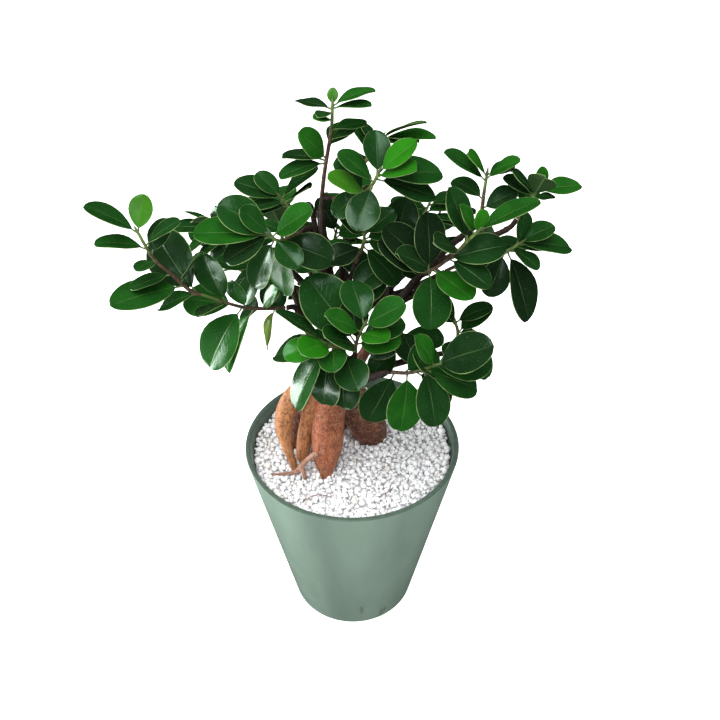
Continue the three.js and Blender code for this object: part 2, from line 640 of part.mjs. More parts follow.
// A limb ends square on its shoot, a hair short of it
function limbRoute(limb, shoots) {
  const shoot = shoots.find((s) => s.name === limb.to);
  const start = shoot.route[0];
  const way = heading(shoot.route, 0);
  const end = STEM_START + 0.1;
  return [...limb.route,
    [...add(start, times(way, -STEM_LEAD)), end], [...add(start, times(way, -SEAT_GAP)), end]];
}

function growPlant() {
  const shoots = SHOOTS.map((shoot) => ({ ...shoot }));
  for (const shoot of shoots) {
    if (!shoot.after) continue;
    const before = shoots.find((s) => s.name === shoot.after).route;
    const way = heading(before, 1);
    const tip = before.at(-1);
    const start = [add(tip, times(way, SEAT_GAP)), add(tip, times(way, STEM_LEAD))];
    shoot.route = [...start, ...shoot.route];
  }
  const plant = { shoots, leaves: [], guards: [], limbs: [] };
  plant.limbs = LIMBS.map((limb) => limbRoute(limb, shoots));
  for (const route of [...ROOTS, NECK]) {
    plant.guards.push(tubeGuard("trunk", route, ...TRUNK_GUARD_MESH));
  }
  for (const route of plant.limbs) {
    plant.guards.push(tubeGuard("trunk", route, ...LIMB_GUARD_MESH));
  }
  for (const shoot of shoots) {
    const steps = 3 * (shoot.route.length - 1);
    plant.guards.push(tubeGuard(shoot.name, stemRoute(shoot), STEM_SIDES, steps));
  }
  for (const guard of plant.guards) guard.isTube = true;
  let number = 0;
  for (const shoot of shoots) {
    for (const row of shoot.leaves) placeLeaf(plant, shoot, (number += 1), row);
  }
  for (const shoot of shoots) {
    for (let i = 0; i < shoot.more[0]; i += 1) {
      placeLeaf(plant, shoot, (number += 1), spiralRow(shoot, i));
    }
  }
  return plant;
}

// Pieces

const potRadiusAt = (z) => BASE_RADIUS + ((RIM_RADIUS - BASE_RADIUS) * z) / POT_HEIGHT;
const insideRadiusAt = (z) => potRadiusAt(z) - WALL;

function turned(profile, sides) {
  const points = profile.map(([r, z]) => new THREE.Vector2(r, z));
  const geometry = new THREE.LatheGeometry(points, sides);
  return geometry.rotateX(Math.PI / 2);
}

function potGeometry() {
  return turned([
    [0, 0], [BASE_RADIUS - EDGE, 0], [BASE_RADIUS, EDGE],
    [RIM_RADIUS, POT_HEIGHT - EDGE], [RIM_RADIUS - EDGE, POT_HEIGHT],
    [RIM_RADIUS - WALL + EDGE / 2, POT_HEIGHT], [insideRadiusAt(POT_HEIGHT - EDGE), POT_HEIGHT - EDGE],
    [insideRadiusAt(POT_FLOOR), POT_FLOOR], [0, POT_FLOOR],
  ], POT_SIDES);
}

function mixGeometry() {
  const low = POT_FLOOR + SEAT_GAP;
  return turned([
    [0, low], [insideRadiusAt(low) - SEAT_GAP, low],
    [insideRadiusAt(MIX_TOP) - SEAT_GAP, MIX_TOP], [0, MIX_TOP],
  ], POT_SIDES / 2);
}

// The perlite's top is raised grain by grain from the middle out to the wall
function perliteGeometry() {
  const low = MIX_TOP + SEAT_GAP;
  const ringAt = (radius, height, seed) => {
    const ring = [];
    for (let k = 0; k < POT_SIDES; k += 1) {
      const a = (2 * Math.PI * k) / POT_SIDES;
      const bump = seed ? PERLITE_BUMP * jitter(seed * 100 + k) : 0;
      ring.push([radius * Math.cos(a), radius * Math.sin(a), height + bump]);
    }
    return ring;
  };
  const rings = [ringAt(insideRadiusAt(low) - SEAT_GAP, low, 0)];
  for (let r = PERLITE_RINGS; r >= 1; r -= 1) {
    const edge = insideRadiusAt(PERLITE_TOP) - SEAT_GAP;
    rings.push(ringAt((edge * r) / PERLITE_RINGS, PERLITE_TOP, r));
  }
  return loft(rings);
}

function rootTubes(swell = 0) {
  const thick = ROOTS.map((route) => loft(tubeRings(route, ...ROOT_MESH, swell)));
  const thin = THIN_ROOTS.map((route) => loft(tubeRings(route, ...THIN_ROOT_MESH, swell)));
  return [...thick, ...thin];
}

function trunkGeometry(plant) {
  const limbs = plant.limbs.map((route) => loft(tubeRings(route, STEM_SIDES, route.length - 1)));
  return toGeometry(joined([...rootTubes(), loft(tubeRings(NECK, ...NECK_MESH)), ...limbs]));
}

function aroundRoots(geometry) {
  return toGeometry(toSolid(geometry).subtract(joined(rootTubes(SEAT_GAP))));
}

function shootGeometry(plant, shoot) {
  const stem = loft(tubeRings(stemRoute(shoot), STEM_SIDES, shoot.route.length));
  const own = plant.leaves.filter((leaf) => leaf.shoot === shoot);
  return toGeometry(joined([stem, ...own.map(leafGeometry)]));
}

// Assembly

const finish = (color, roughness) => new THREE.MeshStandardMaterial({
  color, roughness, metalness: 0,
});
const potPlastic = finish(0x8fa898, 0.45);
const darkMix = finish(0x3a2f26, 1);
const whitePerlite = finish(0xeeeeea, 0.95);
const bark = finish(0x9a5b3c, 0.85);
const leafGreen = finish(0x1f6b22, 0.35);

function named(name, geometry, material) {
  const mesh = new THREE.Mesh(geometry, material);
  mesh.name = name;
  return mesh;
}

const group = new THREE.Group();
const plant = growPlant();
group.add(named("pot", potGeometry(), potPlastic));
group.add(named("potting_mix", aroundRoots(mixGeometry()), darkMix));
group.add(named("perlite_layer", aroundRoots(perliteGeometry()), whitePerlite));
group.add(named("trunk", trunkGeometry(plant), bark));
for (const shoot of plant.shoots) {
  group.add(named(shoot.name, shootGeometry(plant, shoot), leafGreen));
}

export default group;
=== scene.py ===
"""A ginseng ficus in its pot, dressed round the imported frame. Metres, +Z up.

The plant's tables and its leaf rule are in millimetres, as its maker would measure them, and
MM turns them into metres where a mesh is made.
"""

import math
from dataclasses import dataclass

import bpy
import numpy as np
from bpy.props import FloatProperty, FloatVectorProperty, IntProperty, PointerProperty
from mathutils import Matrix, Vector, noise
from mathutils.kdtree import KDTree


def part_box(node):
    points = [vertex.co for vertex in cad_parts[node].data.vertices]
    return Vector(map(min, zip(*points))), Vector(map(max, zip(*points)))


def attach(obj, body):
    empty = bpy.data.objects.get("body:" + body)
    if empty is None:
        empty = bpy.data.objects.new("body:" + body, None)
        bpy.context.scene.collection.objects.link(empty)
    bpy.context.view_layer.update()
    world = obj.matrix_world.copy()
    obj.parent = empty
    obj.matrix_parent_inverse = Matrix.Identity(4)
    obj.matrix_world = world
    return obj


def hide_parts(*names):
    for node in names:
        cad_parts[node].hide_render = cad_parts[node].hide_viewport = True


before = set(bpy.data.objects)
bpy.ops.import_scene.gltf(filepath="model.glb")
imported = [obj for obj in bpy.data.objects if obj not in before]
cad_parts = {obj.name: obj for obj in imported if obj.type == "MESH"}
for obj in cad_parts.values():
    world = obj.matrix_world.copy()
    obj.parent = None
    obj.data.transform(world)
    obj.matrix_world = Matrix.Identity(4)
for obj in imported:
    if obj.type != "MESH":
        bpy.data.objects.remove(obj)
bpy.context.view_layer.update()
pot_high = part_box("pot")[1]
mix_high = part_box("potting_mix")[1]

bl_info = {
    "name": "Ginseng Ficus",
    "version": (1, 0, 0),
    "blender": (4, 5, 0),
    "location": "View3D > Sidebar > Ginseng Ficus",
    "description": "Models a potted ginseng ficus and its studio, one piece at a time",
    "category": "Add Mesh",
}

MM = 0.001

# The leaf rule: shares of the leaf's length, millimetres, and how far leaves differ
STALK_SHARE = 0.12
STALK_RADIUS = 0.8
WIDTH_RATIO = 0.68
WIDTH_SPREAD = 0.05
OUTLINE_SHIFT = 1.15
OUTLINE_POWER = (0.64, 0.16)
BLADE_STATIONS = (0.38, 0.8)
FOLD = math.radians(8)
DROOP = 0.32
DROOP_SPREAD = 0.2
MIDDLE_AGE = 0.33
AGE_SPREAD = 0.17

# Further leaves: the part of the stem that they take, and how wide they stand off it
GOLDEN_ANGLE = 137.5
SPIRAL_START = 0.1
SPIRAL_REACH = 0.85
SPREAD_LOW = 80
SPREAD_LOSS = 35

# What is added to a leaf's number to draw each of its own values
WAVE_DRAW = 40
PHASE_DRAW = 60
TWIST_DRAW = 80
WIDTH_DRAW = 500
AGE_DRAW = 900

# The way that blades face: along the stem, up, and forwards or back by a shoot's "faces"
FACE_ALONG = 0.55
FACE_UP = 0.75
FACE_LEVEL = 0.8
FACES = -0.2

# Shoots: stem radii, how a limb ends on a stem, and the room kept round each leaf
STEM_START = 1.5
STEM_END = 1.0
STEM_LEAD = 6
LIMB_STEP = 0.1
SEAT_GAP = 0.3
CLEARANCE = 1.1
LOWEST_LEAF = 152

# The tubes that leaves keep clear of: sides and steps, their swelling and their reach
TRUNK_GUARD_MESH = (8, 8)
LIMB_GUARD_MESH = (4, 8)
STEM_SIDES = 4
STEM_STEPS = 3
GUARD_SWELL = 0.8
GUARD_REACH = 1.5

# Swollen roots, thin roots on the perlite, and the neck above them: x, y, z, radius
ROOTS = [
    [(-39.5, -21, 128, 2), (-40.5, -20, 144, 2.6), (-44, -18, 158, 3.6), (-45.5, -15, 171, 5.6),
        (-45, -12, 182, 6.3), (-37, -8, 196, 7), (-20, -3, 206, 8)],
    [(-35, -12, 128, 2.6), (-35, -12, 140, 4), (-33.5, -11, 153, 5.2), (-31.5, -10, 167, 5.2),
        (-27.5, -8, 183, 5), (-18, -4, 198, 6)],
    [(-18.3, -26, 128, 2), (-18.2, -25, 140, 4.6), (-17.8, -23, 150, 8.2),
        (-17, -20.5, 162, 10.2), (-16, -17.5, 177, 10.6), (-13, -10, 196, 10), (-9, -2, 206, 9)],
    [(15, 18, 126, 8), (13, 14, 141, 12), (9, 10, 158, 13.5), (2, 5, 177, 12.5),
        (-5, 2, 196, 11)],
    [(-12, 28, 126, 8), (-13, 23, 145, 10), (-12, 16, 164, 10.5), (-10, 8, 184, 11),
        (-8, 3, 201, 10)],
    [(-41, 4, 128, 4), (-40, 3, 146, 5), (-37, 2, 165, 6), (-30, 1, 184, 7), (-20, 0, 200, 8)],
]
THIN_ROOTS = [
    [(-21, -27, 162, 2.4), (-28, -27, 157, 1.9), (-34, -24, 147, 1.8), (-39, -26, 142, 1.7),
        (-47, -27, 141.4, 1.2), (-56, -27, 141, 0.8)],
    [(-35, -24.5, 146, 1.6), (-33, -28, 143, 1.6), (-32, -32, 140.5, 1.3)],
]
NECK = [(-11, 0, 186, 13), (-10, 1, 200, 12.5), (-8, 2, 209, 10.5), (-7, 2, 214, 6)]

# How red each root's skin is, from tan (0) to dark reddish brown (1), and the dry thin roots
ROOT_REDNESS = (0.12, 0.2, 0.5, 0.95, 0.95, 1)
NECK_REDNESS = 0.7
DRY = 1.25

# Fine dead rootlets left lying on the grains: x, y at each bend
THREADS = [
    [(-33, -52), (-27, -48), (-20, -47), (-12, -49)],
    [(16, -49), (22, -46), (27, -41), (29, -35)],
]

# Woody limbs: the shoot that each carries, and the middle points of its route
LIMBS = [
    ("front", [(-4, -4, 202, 3.8), (-2, -24, 228, 3), (0, -40, 249, 2.3)]),
    ("front_low", [(-1.4, -31, 237, 2.2), (-1, -44, 249, 1.9)]),
    ("right_low", [(0, -4, 201, 3.6), (8, -20, 218, 2.8), (16, -33, 232, 2.2)]),
    ("left_low", [(-12, -1, 203, 4.2), (-20, -10, 236, 3.2), (-29, -17, 260, 2.6)]),
    ("left_inner", [(-21, -11, 240, 2.4), (-32, -4, 262, 2)]),
    ("right_mid", [(0, 2, 204, 4.2), (14, -5, 240, 3.4), (29, -15, 275, 2.5)]),
    ("right_inner", [(12, -4, 234, 2.4), (20, -1, 257, 2)]),
    ("right_high", [(21, -9, 257, 2.6), (44, 2, 284, 2.3), (67, 14, 301, 1.9)]),
    ("right_tip", [(43, 1, 283, 2.2), (68, 5, 298, 2), (87, 9, 305, 1.8)]),
    ("right_side", [(28, -14, 272, 2.4), (52, -12, 286, 2.1), (73, -13, 297, 1.8)]),
    ("right_high_back", [(13, -4, 238, 2.6), (24, 14, 262, 2.2), (33, 27, 281, 1.9)]),
    ("right_back_low", [(0, 2, 203, 3), (20, -3, 214, 2.4), (46, -7, 226, 2)]),
    ("low_centre", [(2, -2, 202, 2.8), (15, -3, 212, 2.2)]),
    ("top", [(-8, 3, 204, 4.8), (-10, 4, 245, 3.9), (-14, 1, 290, 2.8)]),
    ("crown", [(-15.4, 0, 304, 2.2), (-16, -6, 324, 1.8)]),
    ("left_high", [(-14, 1, 286, 2.2), (-20, 5, 306, 1.9)]),
    ("left_mid", [(-13, 2, 270, 2.4), (-17, -8, 296, 2.1), (-20, -19, 315, 1.9)]),
    ("back_high", [(-9, 5, 236, 2.8), (-5, 26, 278, 2.2), (0, 36, 308, 1.9)]),
    ("centre", [(-10, 5, 240, 2.3), (-13, 14, 260, 1.9)]),
    ("inner", [(-10, 4, 244, 2.4), (-4, -1, 270, 1.9)]),
    ("left_back", [(-10, 4, 230, 2.8), (-26, 14, 262, 2.3), (-45, 20, 282, 1.9)]),
    ("side_left", [(-25, 13, 260, 2.4), (-44, 24, 262, 2)]),
    ("back_mid", [(-8, 5, 203, 3.6), (-6, 22, 230, 3), (-4, 38, 252, 2.2)]),
    ("back_left", [(-6.5, 18, 225, 2.6), (-20, 34, 246, 2)]),
    ("back_right", [(-6.5, 18, 225, 2.8), (16, 30, 244, 2.1)]),
    ("side_right", [(14, 29, 243, 2.2), (40, 34, 252, 1.9)]),
    ("back_low", [(-8, 6, 202, 2.8), (-10, 26, 210, 2.2)]),
]

# Leafy shoots, those nearest the viewer first.
# faces: how far the shoot's blades face back (above 0) or towards the viewer (below 0).
# after: the shoot whose tip this one grows from.
# more: how many further leaves the spiral rule adds, their length and its first angle.
# A leaf's row: place along the stem (0 to 1), compass angle, rise angle and length. Where it
# differs from its neighbours, its freshness follows, from old (0) to young (1) to yellowing
# (above 1), or None for the usual one, and then the leaf's own value for faces.
SHOOTS = {
    "front": {
        "faces": -0.3,
        "route": [(2, -50, 262), (3, -54, 273), (7, -58, 287)],
        "more": (2, 26, 40),
        "leaves": [(1, 108, 30, 28, 0.35), (0.95, -6, 35, 28, 0.55), (0.72, -47, 49, 26, 0.85),
            (0.8, -160, 46, 26, 0.6), (0.4, 147, 45, 47, 0.35, -0.8), (0.5, 106, 57, 38, 0.12),
            (0.35, -165, 36, 34, 0.4), (0.4, -18, 14, 27, 0.7)],
    },
    "front_low": {
        "faces": -0.4,
        "route": [(-2, -53, 261), (-8, -57, 270), (-14, -59, 275)],
        "more": (1, 26, 60),
        "leaves": [(1, -161, -8, 25, 0.9), (0.92, -128, 17, 25, 0.95, -1),
            (0.85, 174, -20, 34, 0.2, 0.1), (0.97, 164, 29, 34, 0.4, 0.7),
            (0.6, -90, -1, 23, 0.55), (0.15, -74, -12, 28, 0.25), (0.9, -148, -59, 43, 0.4, 0.15),
            (0.65, -125, -68, 38, 0.2), (0.2, -90, -80, 36, 0.15)],
    },
    "right_low": {
        "faces": -0.4,
        "route": [(24, -42, 241), (35, -50, 247), (48, -56, 257)],
        "more": (2, 28, 200),
        "leaves": [(0.4, -108, -66, 36, 0.6), (0.07, -155, -60, 36, 0.22),
            (0.76, -75, -50, 34, 0.28), (1, -14, 30, 37, 0.12), (0.97, 180, 58, 24, 0.7),
            (1, -60, 42, 17, 0.85), (0.9, 8, 0, 36, 0.4), (0.76, 0, -27, 36, 0.4),
            (0.6, 9, -49, 34)],
    },
    "left_low": {
        "faces": -0.35,
        "route": [(-39, -20, 273), (-62, -24, 276), (-86, -28, 288)],
        "more": (2, 26, 20),
        "leaves": [(0.62, 170, -5, 34, 0.55), (0.73, 165, 72, 34, 0.32), (0.5, 180, 72, 20),
            (0.54, -141, -52, 42, 0.5, -0.9), (0.4, -134, -57, 42, 0.7, 0.15),
            (0.3, -19, 43, 20, 0.6), (0.14, -135, -75, 28, 1.08, 0)],
    },
    "left_tip": {
        "faces": 0.0,
        "after": "left_low",
        "route": [(-100, -30, 302), (-109, -31, 314), (-115, -31, 330)],
        "more": (1, 24, 90),
        "leaves": [(1, 60, 62, 21, 1, -1.2), (1, -171, 33, 31, 0.45), (0.85, -165, 12, 28, 0.5),
            (0.95, -165, 32, 18, 0.8), (0.72, -130, 15, 16, None, -0.9),
            (0.78, 60, 40, 23, 0.2, -0.9), (0.88, 17, 28, 24), (0.1, 132, 34, 44, 0.15, -0.8),
            (0.4, -14, 53, 26), (0.36, -150, 0, 43, 0.5, -0.4), (0.12, -175, -14, 25)],
    },
    "right_mid": {
        "faces": -0.2,
        "route": [(42, -24, 299), (49, -30, 307), (58, -36, 320), (67, -40, 334)],
        "more": (1, 28, 120),
        "leaves": [(1, 0, 84, 14, 0.9), (1, 12, 22, 37, 0.55, 0.5), (0.96, 167, 60, 19, 0.65),
            (0.7, -145, 30, 22, 0.15), (0.85, 143, 62, 31), (0.5, 0, 14, 33, 0.25),
            (0.2, -45, -14, 30, 0.75), (0.12, -91, -50, 34), (0.16, -159, 34, 27, 0.15),
            (0.11, 106, 74, 34, 0.05), (0.06, 164, 62, 36, 0.05), (0.02, 180, 45, 34, 0.05)],
    },
    "left_mid": {
        "faces": -0.1,
        "route": [(-27, -26, 327), (-38, -34, 326), (-43, -40, 333)],
        "more": (1, 26, 10),
        "leaves": [(0.96, -161, -24, 28, 0.12), (0.78, -45, -28, 22, 0.4), (0.6, -7, 0, 32, 0.12),
            (0.9, -10, 37, 29, 0.6), (1, -174, 4, 40, 0.6, 0.25), (1, 174, -9, 36, 0.3, 0.15),
            (0.76, -160, -65, 31), (0.48, -30, -80, 34, 0.55),
            (1, -172, 49, 22, 0.45), (0.95, 173, 21, 32, 0.4)],
    },
    "crown": {
        "faces": -0.2,
        "route": [(-10, -8, 338), (1, -14, 341), (11, -20, 351), (15, -22, 360)],
        "more": (1, 26, 300),
        "leaves": [(1, 6, 38, 26, 0.95), (0.94, 84, 62, 24, 0.3), (0.55, -157, 28, 25, 1),
            (0.77, 168, 37, 25, 0.5), (0.9, -22, 20, 24, 0.85), (0.7, -112, -35, 28),
            (0.86, 0, -20, 35), (0.95, 16, -7, 37, 0.45), (0.55, 180, -37, 22, 0.25)],
    },
    "top": {
        "faces": 0.1,
        "route": [(-17, -2, 329), (-14, -4, 353), (-10, -5, 376), (-9, -5, 390)],
        "more": (1, 22, 250),
        "leaves": [(1, 84, 72, 9, 1), (1, 20, 14, 24, 0.6), (0.97, 0, 6, 21, 0.5),
            (0.96, 165, 5, 21), (0.9, -131, 25, 12), (0.8, -140, 25, 13, 0.8, -0.4),
            (0.68, 24, 0, 21),
            (0.43, -150, 48, 25, 0.65, -1.2), (0.58, 23, 27, 17), (0.53, -156, -12, 22),
            (0.4, -169, -15, 27, 0.45), (0.42, 162, -13, 26)],
    },
    "left_high": {
        "faces": 0.0,
        "route": [(-29, 8, 325), (-35, 8, 325), (-40, 6, 332)],
        "more": (2, 27, 80),
        "leaves": [(0.97, 156, 37, 20), (0.95, -10, 40, 30), (0.8, -155, 15, 22),
            (0.92, 172, 17, 29), (0.53, -173, -4, 33)],
    },
    "right_side": {
        "faces": 0.0,
        "route": [(87, -14, 305), (92, -16, 310), (96, -17, 314)],
        "more": (1, 26, 170),
        "leaves": [(0.87, 4, -9, 32, 0.4), (0.98, 12, 22, 22, 0.4), (0.83, 54, 68, 20),
            (0.45, -37, -23, 20), (0.3, -45, -64, 44, 0.08, 0), (0.14, -144, -50, 27, 0.1)],
    },
    "right_high": {
        "faces": -0.5,
        "route": [(79, 20, 314), (80, 24, 326), (81, 26, 336)],
        "more": (2, 24, 60),
        "leaves": [(0.82, -178, 33, 32, 0.5, -0.3), (0.96, -160, 49, 22, 0.75),
            (0.88, -30, 36, 25, 0.65), (1, 17, 23, 18), (0.1, 0, 60, 26, 0.15, -0.9)],
    },
    "right_tip": {
        "faces": -0.5,
        "route": [(99, 12, 314), (106, 14, 324), (110, 16, 331)],
        "more": (2, 24, 200),
        "leaves": [(0.74, -173, 45, 23), (1, 64, 76, 14, 0.75), (0.96, 0, 5, 26, 0.6),
            (0.67, -31, 17, 13), (0.69, 153, 55, 24)],
    },
    "inner": {
        "faces": -0.4,
        "route": [(3, -6, 295), (7, -10, 309), (8, -12, 319)],
        "more": (2, 28, 30),
        "leaves": [(0.7, -22, 0, 26), (0.5, -10, -44, 31), (0.44, -155, -11, 24, 0.02),
            (0.9, -169, 43, 20), (0.9, 8, 33, 22)],
    },
    "back_high": {
        "faces": -0.25,
        "route": [(5, 40, 331), (12, 46, 340), (19, 50, 349)],
        "more": (3, 27, 150),
        "leaves": [(1, -28, 26, 32, 0.8), (1, -19, 15, 34, 0.7), (0.77, 159, 45, 18),
            (0.49, 146, 53, 24)],
    },
    "right_back_low": {
        "route": [(66, -10, 237), (66, -12, 248), (64, -12, 256)],
        "more": (3, 27, 100),
        "leaves": [(1, 180, 51, 20), (1, 0, 25, 24), (0.57, 18, -34, 24), (0.3, -20, -40, 34)],
    },
    "right_inner": {
        "faces": -0.4,
        "route": [(24, 0, 277), (25, -2, 293), (26, -6, 307)],
        "more": (1, 27, 60),
        "leaves": [(1, -152, 38, 30), (0.9, 0, 30, 28), (0.7, -145, -26, 30),
            (0.7, -26, -38, 28), (1, 56, 66, 28, 0.15), (0.34, -158, -32, 28),
            (0.4, -10, -20, 28)],
    },
    "centre": {
        "faces": -0.4,
        "route": [(-14, 22, 279), (-11, 20, 292), (-9, 18, 302)],
        "more": (1, 27, 100),
        "leaves": [(0.66, -156, 20, 28), (0.77, -7, 30, 28), (1, 153, 58, 24, 0.05),
            (0.44, -156, -20, 28), (0.55, -29, -30, 28), (1, -31, 5, 24)],
    },
    "left_inner": {
        "route": [(-43, 2, 281), (-51, 0, 285), (-56, -2, 291)],
        "more": (1, 25, 50),
        "leaves": [(0.86, -127, -50, 24), (0.54, -49, -62, 24), (0.95, -172, 10, 26),
            (0.73, 130, 60, 22), (0.27, -8, -25, 22)],
    },
    "left_back": {
        "faces": -0.3,
        "route": [(-60, 24, 293), (-74, 30, 295), (-84, 34, 296)],
        "more": (1, 26, 140),
        "leaves": [(1, 180, 2, 27), (0.94, 162, 0, 25, None, 0.3), (0.9, -148, -24, 24),
            (0.85, 151, 44, 20), (0.66, 60, 55, 22), (0.5, -127, -38, 24), (1, -149, 45, 20)],
    },
    "right_high_back": {
        "faces": 0.0,
        "route": [(38, 34, 294), (45, 40, 300), (49, 42, 308)],
        "more": (2, 26, 10),
        "leaves": [(1, 23, -5, 28), (0.9, -154, 15, 27), (0.54, -21, 0, 28),
            (0.46, -159, -8, 27), (0.2, 72, 30, 22)],
    },
    "low_centre": {
        "faces": -0.4,
        "route": [(25, -4, 224), (30, -8, 238), (31, -10, 250)],
        "more": (2, 26, 300),
        "leaves": [(0.96, -73, -14, 28, 0.12), (0.78, -20, 0, 28), (0.9, -124, -4, 27, 0.12),
            (1, 163, 62, 24), (0.39, -143, -36, 26)],
    },
    "back_left": {
        "route": [(-30, 45, 262), (-42, 58, 275), (-50, 66, 292)],
        "more": (6, 29, 0),
    },
    "back_mid": {
        "route": [(-2, 48, 268), (0, 60, 285), (2, 68, 303)],
        "more": (6, 29, 45),
    },
    "back_right": {
        "route": [(38, 42, 262), (50, 54, 275), (58, 60, 292)],
        "more": (6, 29, 90),
    },
    "side_left": {
        "route": [(-62, 32, 262), (-80, 40, 268), (-92, 44, 278)],
        "more": (6, 29, 30),
    },
    "side_right": {
        "route": [(62, 38, 262), (78, 44, 268), (90, 48, 278)],
        "more": (6, 29, 120),
    },
    "back_low": {
        "route": [(-12, 48, 222), (-18, 60, 230), (-22, 70, 242)],
        "more": (6, 29, 20),
    },
}

# Turns that a leaf may make to clear its neighbours, in the order tried:
# compass turn, rise turn, share of its length
TURNS = [
    (0, 0, 1), (10, 0, 1), (-10, 0, 1), (0, 10, 1), (0, -10, 1),
    (10, 10, 1), (-10, 10, 1), (10, -10, 1), (-10, -10, 1), (0, 0, 0.85),
    (20, 0, 1), (-20, 0, 1), (0, 20, 1), (0, -20, 1),
    (20, 12, 0.9), (-20, 12, 0.9), (20, -12, 0.9), (-20, -12, 0.9),
    (32, 0, 0.9), (-32, 0, 0.9), (0, 32, 0.9), (0, -32, 0.9),
    (14, 14, 0.75), (-14, 14, 0.75), (14, -14, 0.75), (-14, -14, 0.75),
    (42, 16, 0.8), (-42, 16, 0.8), (42, -16, 0.8), (-42, -16, 0.8),
    (0, 0, 0.65), (24, 0, 0.65), (-24, 0, 0.65), (0, 24, 0.65), (0, -24, 0.65),
]


# Routes: a route is a list of points, and may carry a radius as its fourth value

JITTER_TURN = 12.9898
JITTER_SCALE = 43758.5453
HEADING_STEP = 0.02
FIRST_ACROSS = (0.3, 0.8, 0.52)
SPIRAL_ACROSS = (0.2, 0.3, 0.93)


def unit(vector):
    return vector / np.linalg.norm(vector)


def jitter(number):
    """A repeatable value from -1 to 1 for a whole number."""
    x = math.sin(number * JITTER_TURN) * JITTER_SCALE
    return 2 * (x - math.floor(x)) - 1


def compass(turn, rise):
    """A direction from its compass angle (0 = +X, 90 = +Y) and its rise above level."""
    a, e = math.radians(turn), math.radians(rise)
    return np.array([math.cos(a) * math.cos(e), math.sin(a) * math.cos(e), math.sin(e)])


def on_route(route, u):
    """The point at u, 0 to 1, of a smooth curve through the route's points."""
    points = np.asarray(route, float)
    last = len(points) - 1
    s = min(max(u, 0.0), 1.0) * last
    i = min(int(s), last - 1)
    t = s - i
    b, c = points[i], points[i + 1]
    a = points[i - 1] if i > 0 else 2 * b - c
    d = points[i + 2] if i + 2 <= last else 2 * c - b
    bend = (2 * a - 5 * b + 4 * c - d) * t * t + (3 * b - a - 3 * c + d) * t * t * t
    return 0.5 * (2 * b + (c - a) * t + bend)


def heading(route, u):
    before, after = max(u - HEADING_STEP, 0), min(u + HEADING_STEP, 1)
    return unit((on_route(route, after) - on_route(route, before))[:3])


def tube_rings(route, sides, steps, swell):
    """Rings of points round a route that carries its radius, swollen a little."""
    turns = 2 * np.pi * np.arange(sides) / sides
    across = unit(np.cross(heading(route, 0), FIRST_ACROSS))
    rings = []
    for u in np.arange(steps + 1) / steps:
        ahead = heading(route, u)
        across = unit(across - ahead * across.dot(ahead))
        up = np.cross(ahead, across)
        centre = on_route(route, u)
        out = np.cos(turns)[:, None] * across + np.sin(turns)[:, None] * up
        rings.append(centre[:3] + out * (centre[3] + swell))
    return np.array(rings)


# The leaf rule: it finds each leaf's place, so that no blade passes through another


@dataclass
class Leaf:
    """One leaf: where it joins its stem, the way it starts, and its size."""

    shoot: str
    number: int
    root: np.ndarray
    ahead: np.ndarray
    up: np.ndarray
    side: np.ndarray
    length: float
    ratio: float
    bend: float
    freshness: float


@dataclass
class Guard:
    """Faces and edges that a leaf has to keep clear of."""

    owner: str
    faces: np.ndarray
    edges: np.ndarray
    stalk_faces: np.ndarray
    is_tube: bool

    def __post_init__(self):
        points = np.concatenate([self.faces.reshape(-1, 3), self.edges.reshape(-1, 3)])
        self.low = points.min(0)
        self.high = points.max(0)


NO_FACES = np.zeros((0, 3, 3))
SHEET_PLACES = [(0, 0)] + [(t, side) for t in BLADE_STATIONS for side in (-1, 0, 1)] + [(1, 0)]
SHEET_FACES = np.array([
    (0, 1, 2), (0, 2, 3), (1, 4, 5), (1, 5, 2), (2, 5, 6), (2, 6, 3), (4, 7, 5), (5, 7, 6),
])
SHEET_EDGES = np.array([
    (0, 1), (0, 2), (0, 3), (1, 2), (2, 3), (1, 4), (1, 5), (2, 5), (2, 6), (3, 6), (4, 5),
    (5, 6), (4, 7), (5, 7), (6, 7),
])


def outline(t):
    """Half width of the blade along it: a narrow foot, widest past the middle."""
    power, loss = OUTLINE_POWER
    return np.maximum(np.sin(np.pi * t ** OUTLINE_SHIFT), 0) ** (power - loss * t)


def make_leaf(shoot, number, row, freshness):
    u, turn, rise, length, faces = row
    route = shoot["route"]
    bend = DROOP + DROOP_SPREAD * jitter(number)
    ratio = WIDTH_RATIO + WIDTH_SPREAD * jitter(number + WIDTH_DRAW)
    chord = compass(turn, rise)
    towards = heading(route, u) * FACE_ALONG + np.array([0, FACE_LEVEL * faces, FACE_UP])
    face = unit(towards - chord * towards.dot(chord))
    ahead = chord * math.cos(bend / 2) + face * math.sin(bend / 2)
    up = unit(face - ahead * face.dot(ahead))
    root = on_route(route, u)
    side = np.cross(ahead, up)
    return Leaf(shoot["name"], number, root, ahead, up, side, length, ratio, bend, freshness)


def on_blade(leaf, t, across, lift=0.0, grow=0.0, least=STALK_RADIUS, cup=None):
    """Points of the blade: t along it, across it from -1 to 1, lifted off its bent sheet.

    grow widens it all round, least is its least half width, and cup is how its sides rise.
    """
    t = np.asarray(t, float)
    across = np.asarray(across, float)
    stalk = leaf.length * STALK_SHARE
    blade = leaf.length - stalk
    a = leaf.bend * t
    forward = (stalk + blade * np.sin(a) / leaf.bend)[..., None]
    down = (blade * (1 - np.cos(a)) / leaf.bend)[..., None]
    cos, sin = np.cos(a)[..., None], np.sin(a)[..., None]
    up = cos * leaf.up + sin * leaf.ahead
    ahead = cos * leaf.ahead - sin * leaf.up
    half = np.maximum(0.5 * leaf.ratio * leaf.length * outline(t), least) + grow
    rise = np.abs(across) if cup is None else cup
    lift = (rise * half * math.sin(FOLD) + lift)[..., None]
    beyond = np.where(t >= 1, grow, 0.0)[..., None]
    out = leaf.side * (across * half * math.cos(FOLD))[..., None]
    return leaf.root + leaf.ahead * forward - leaf.up * down + out + up * lift + ahead * beyond


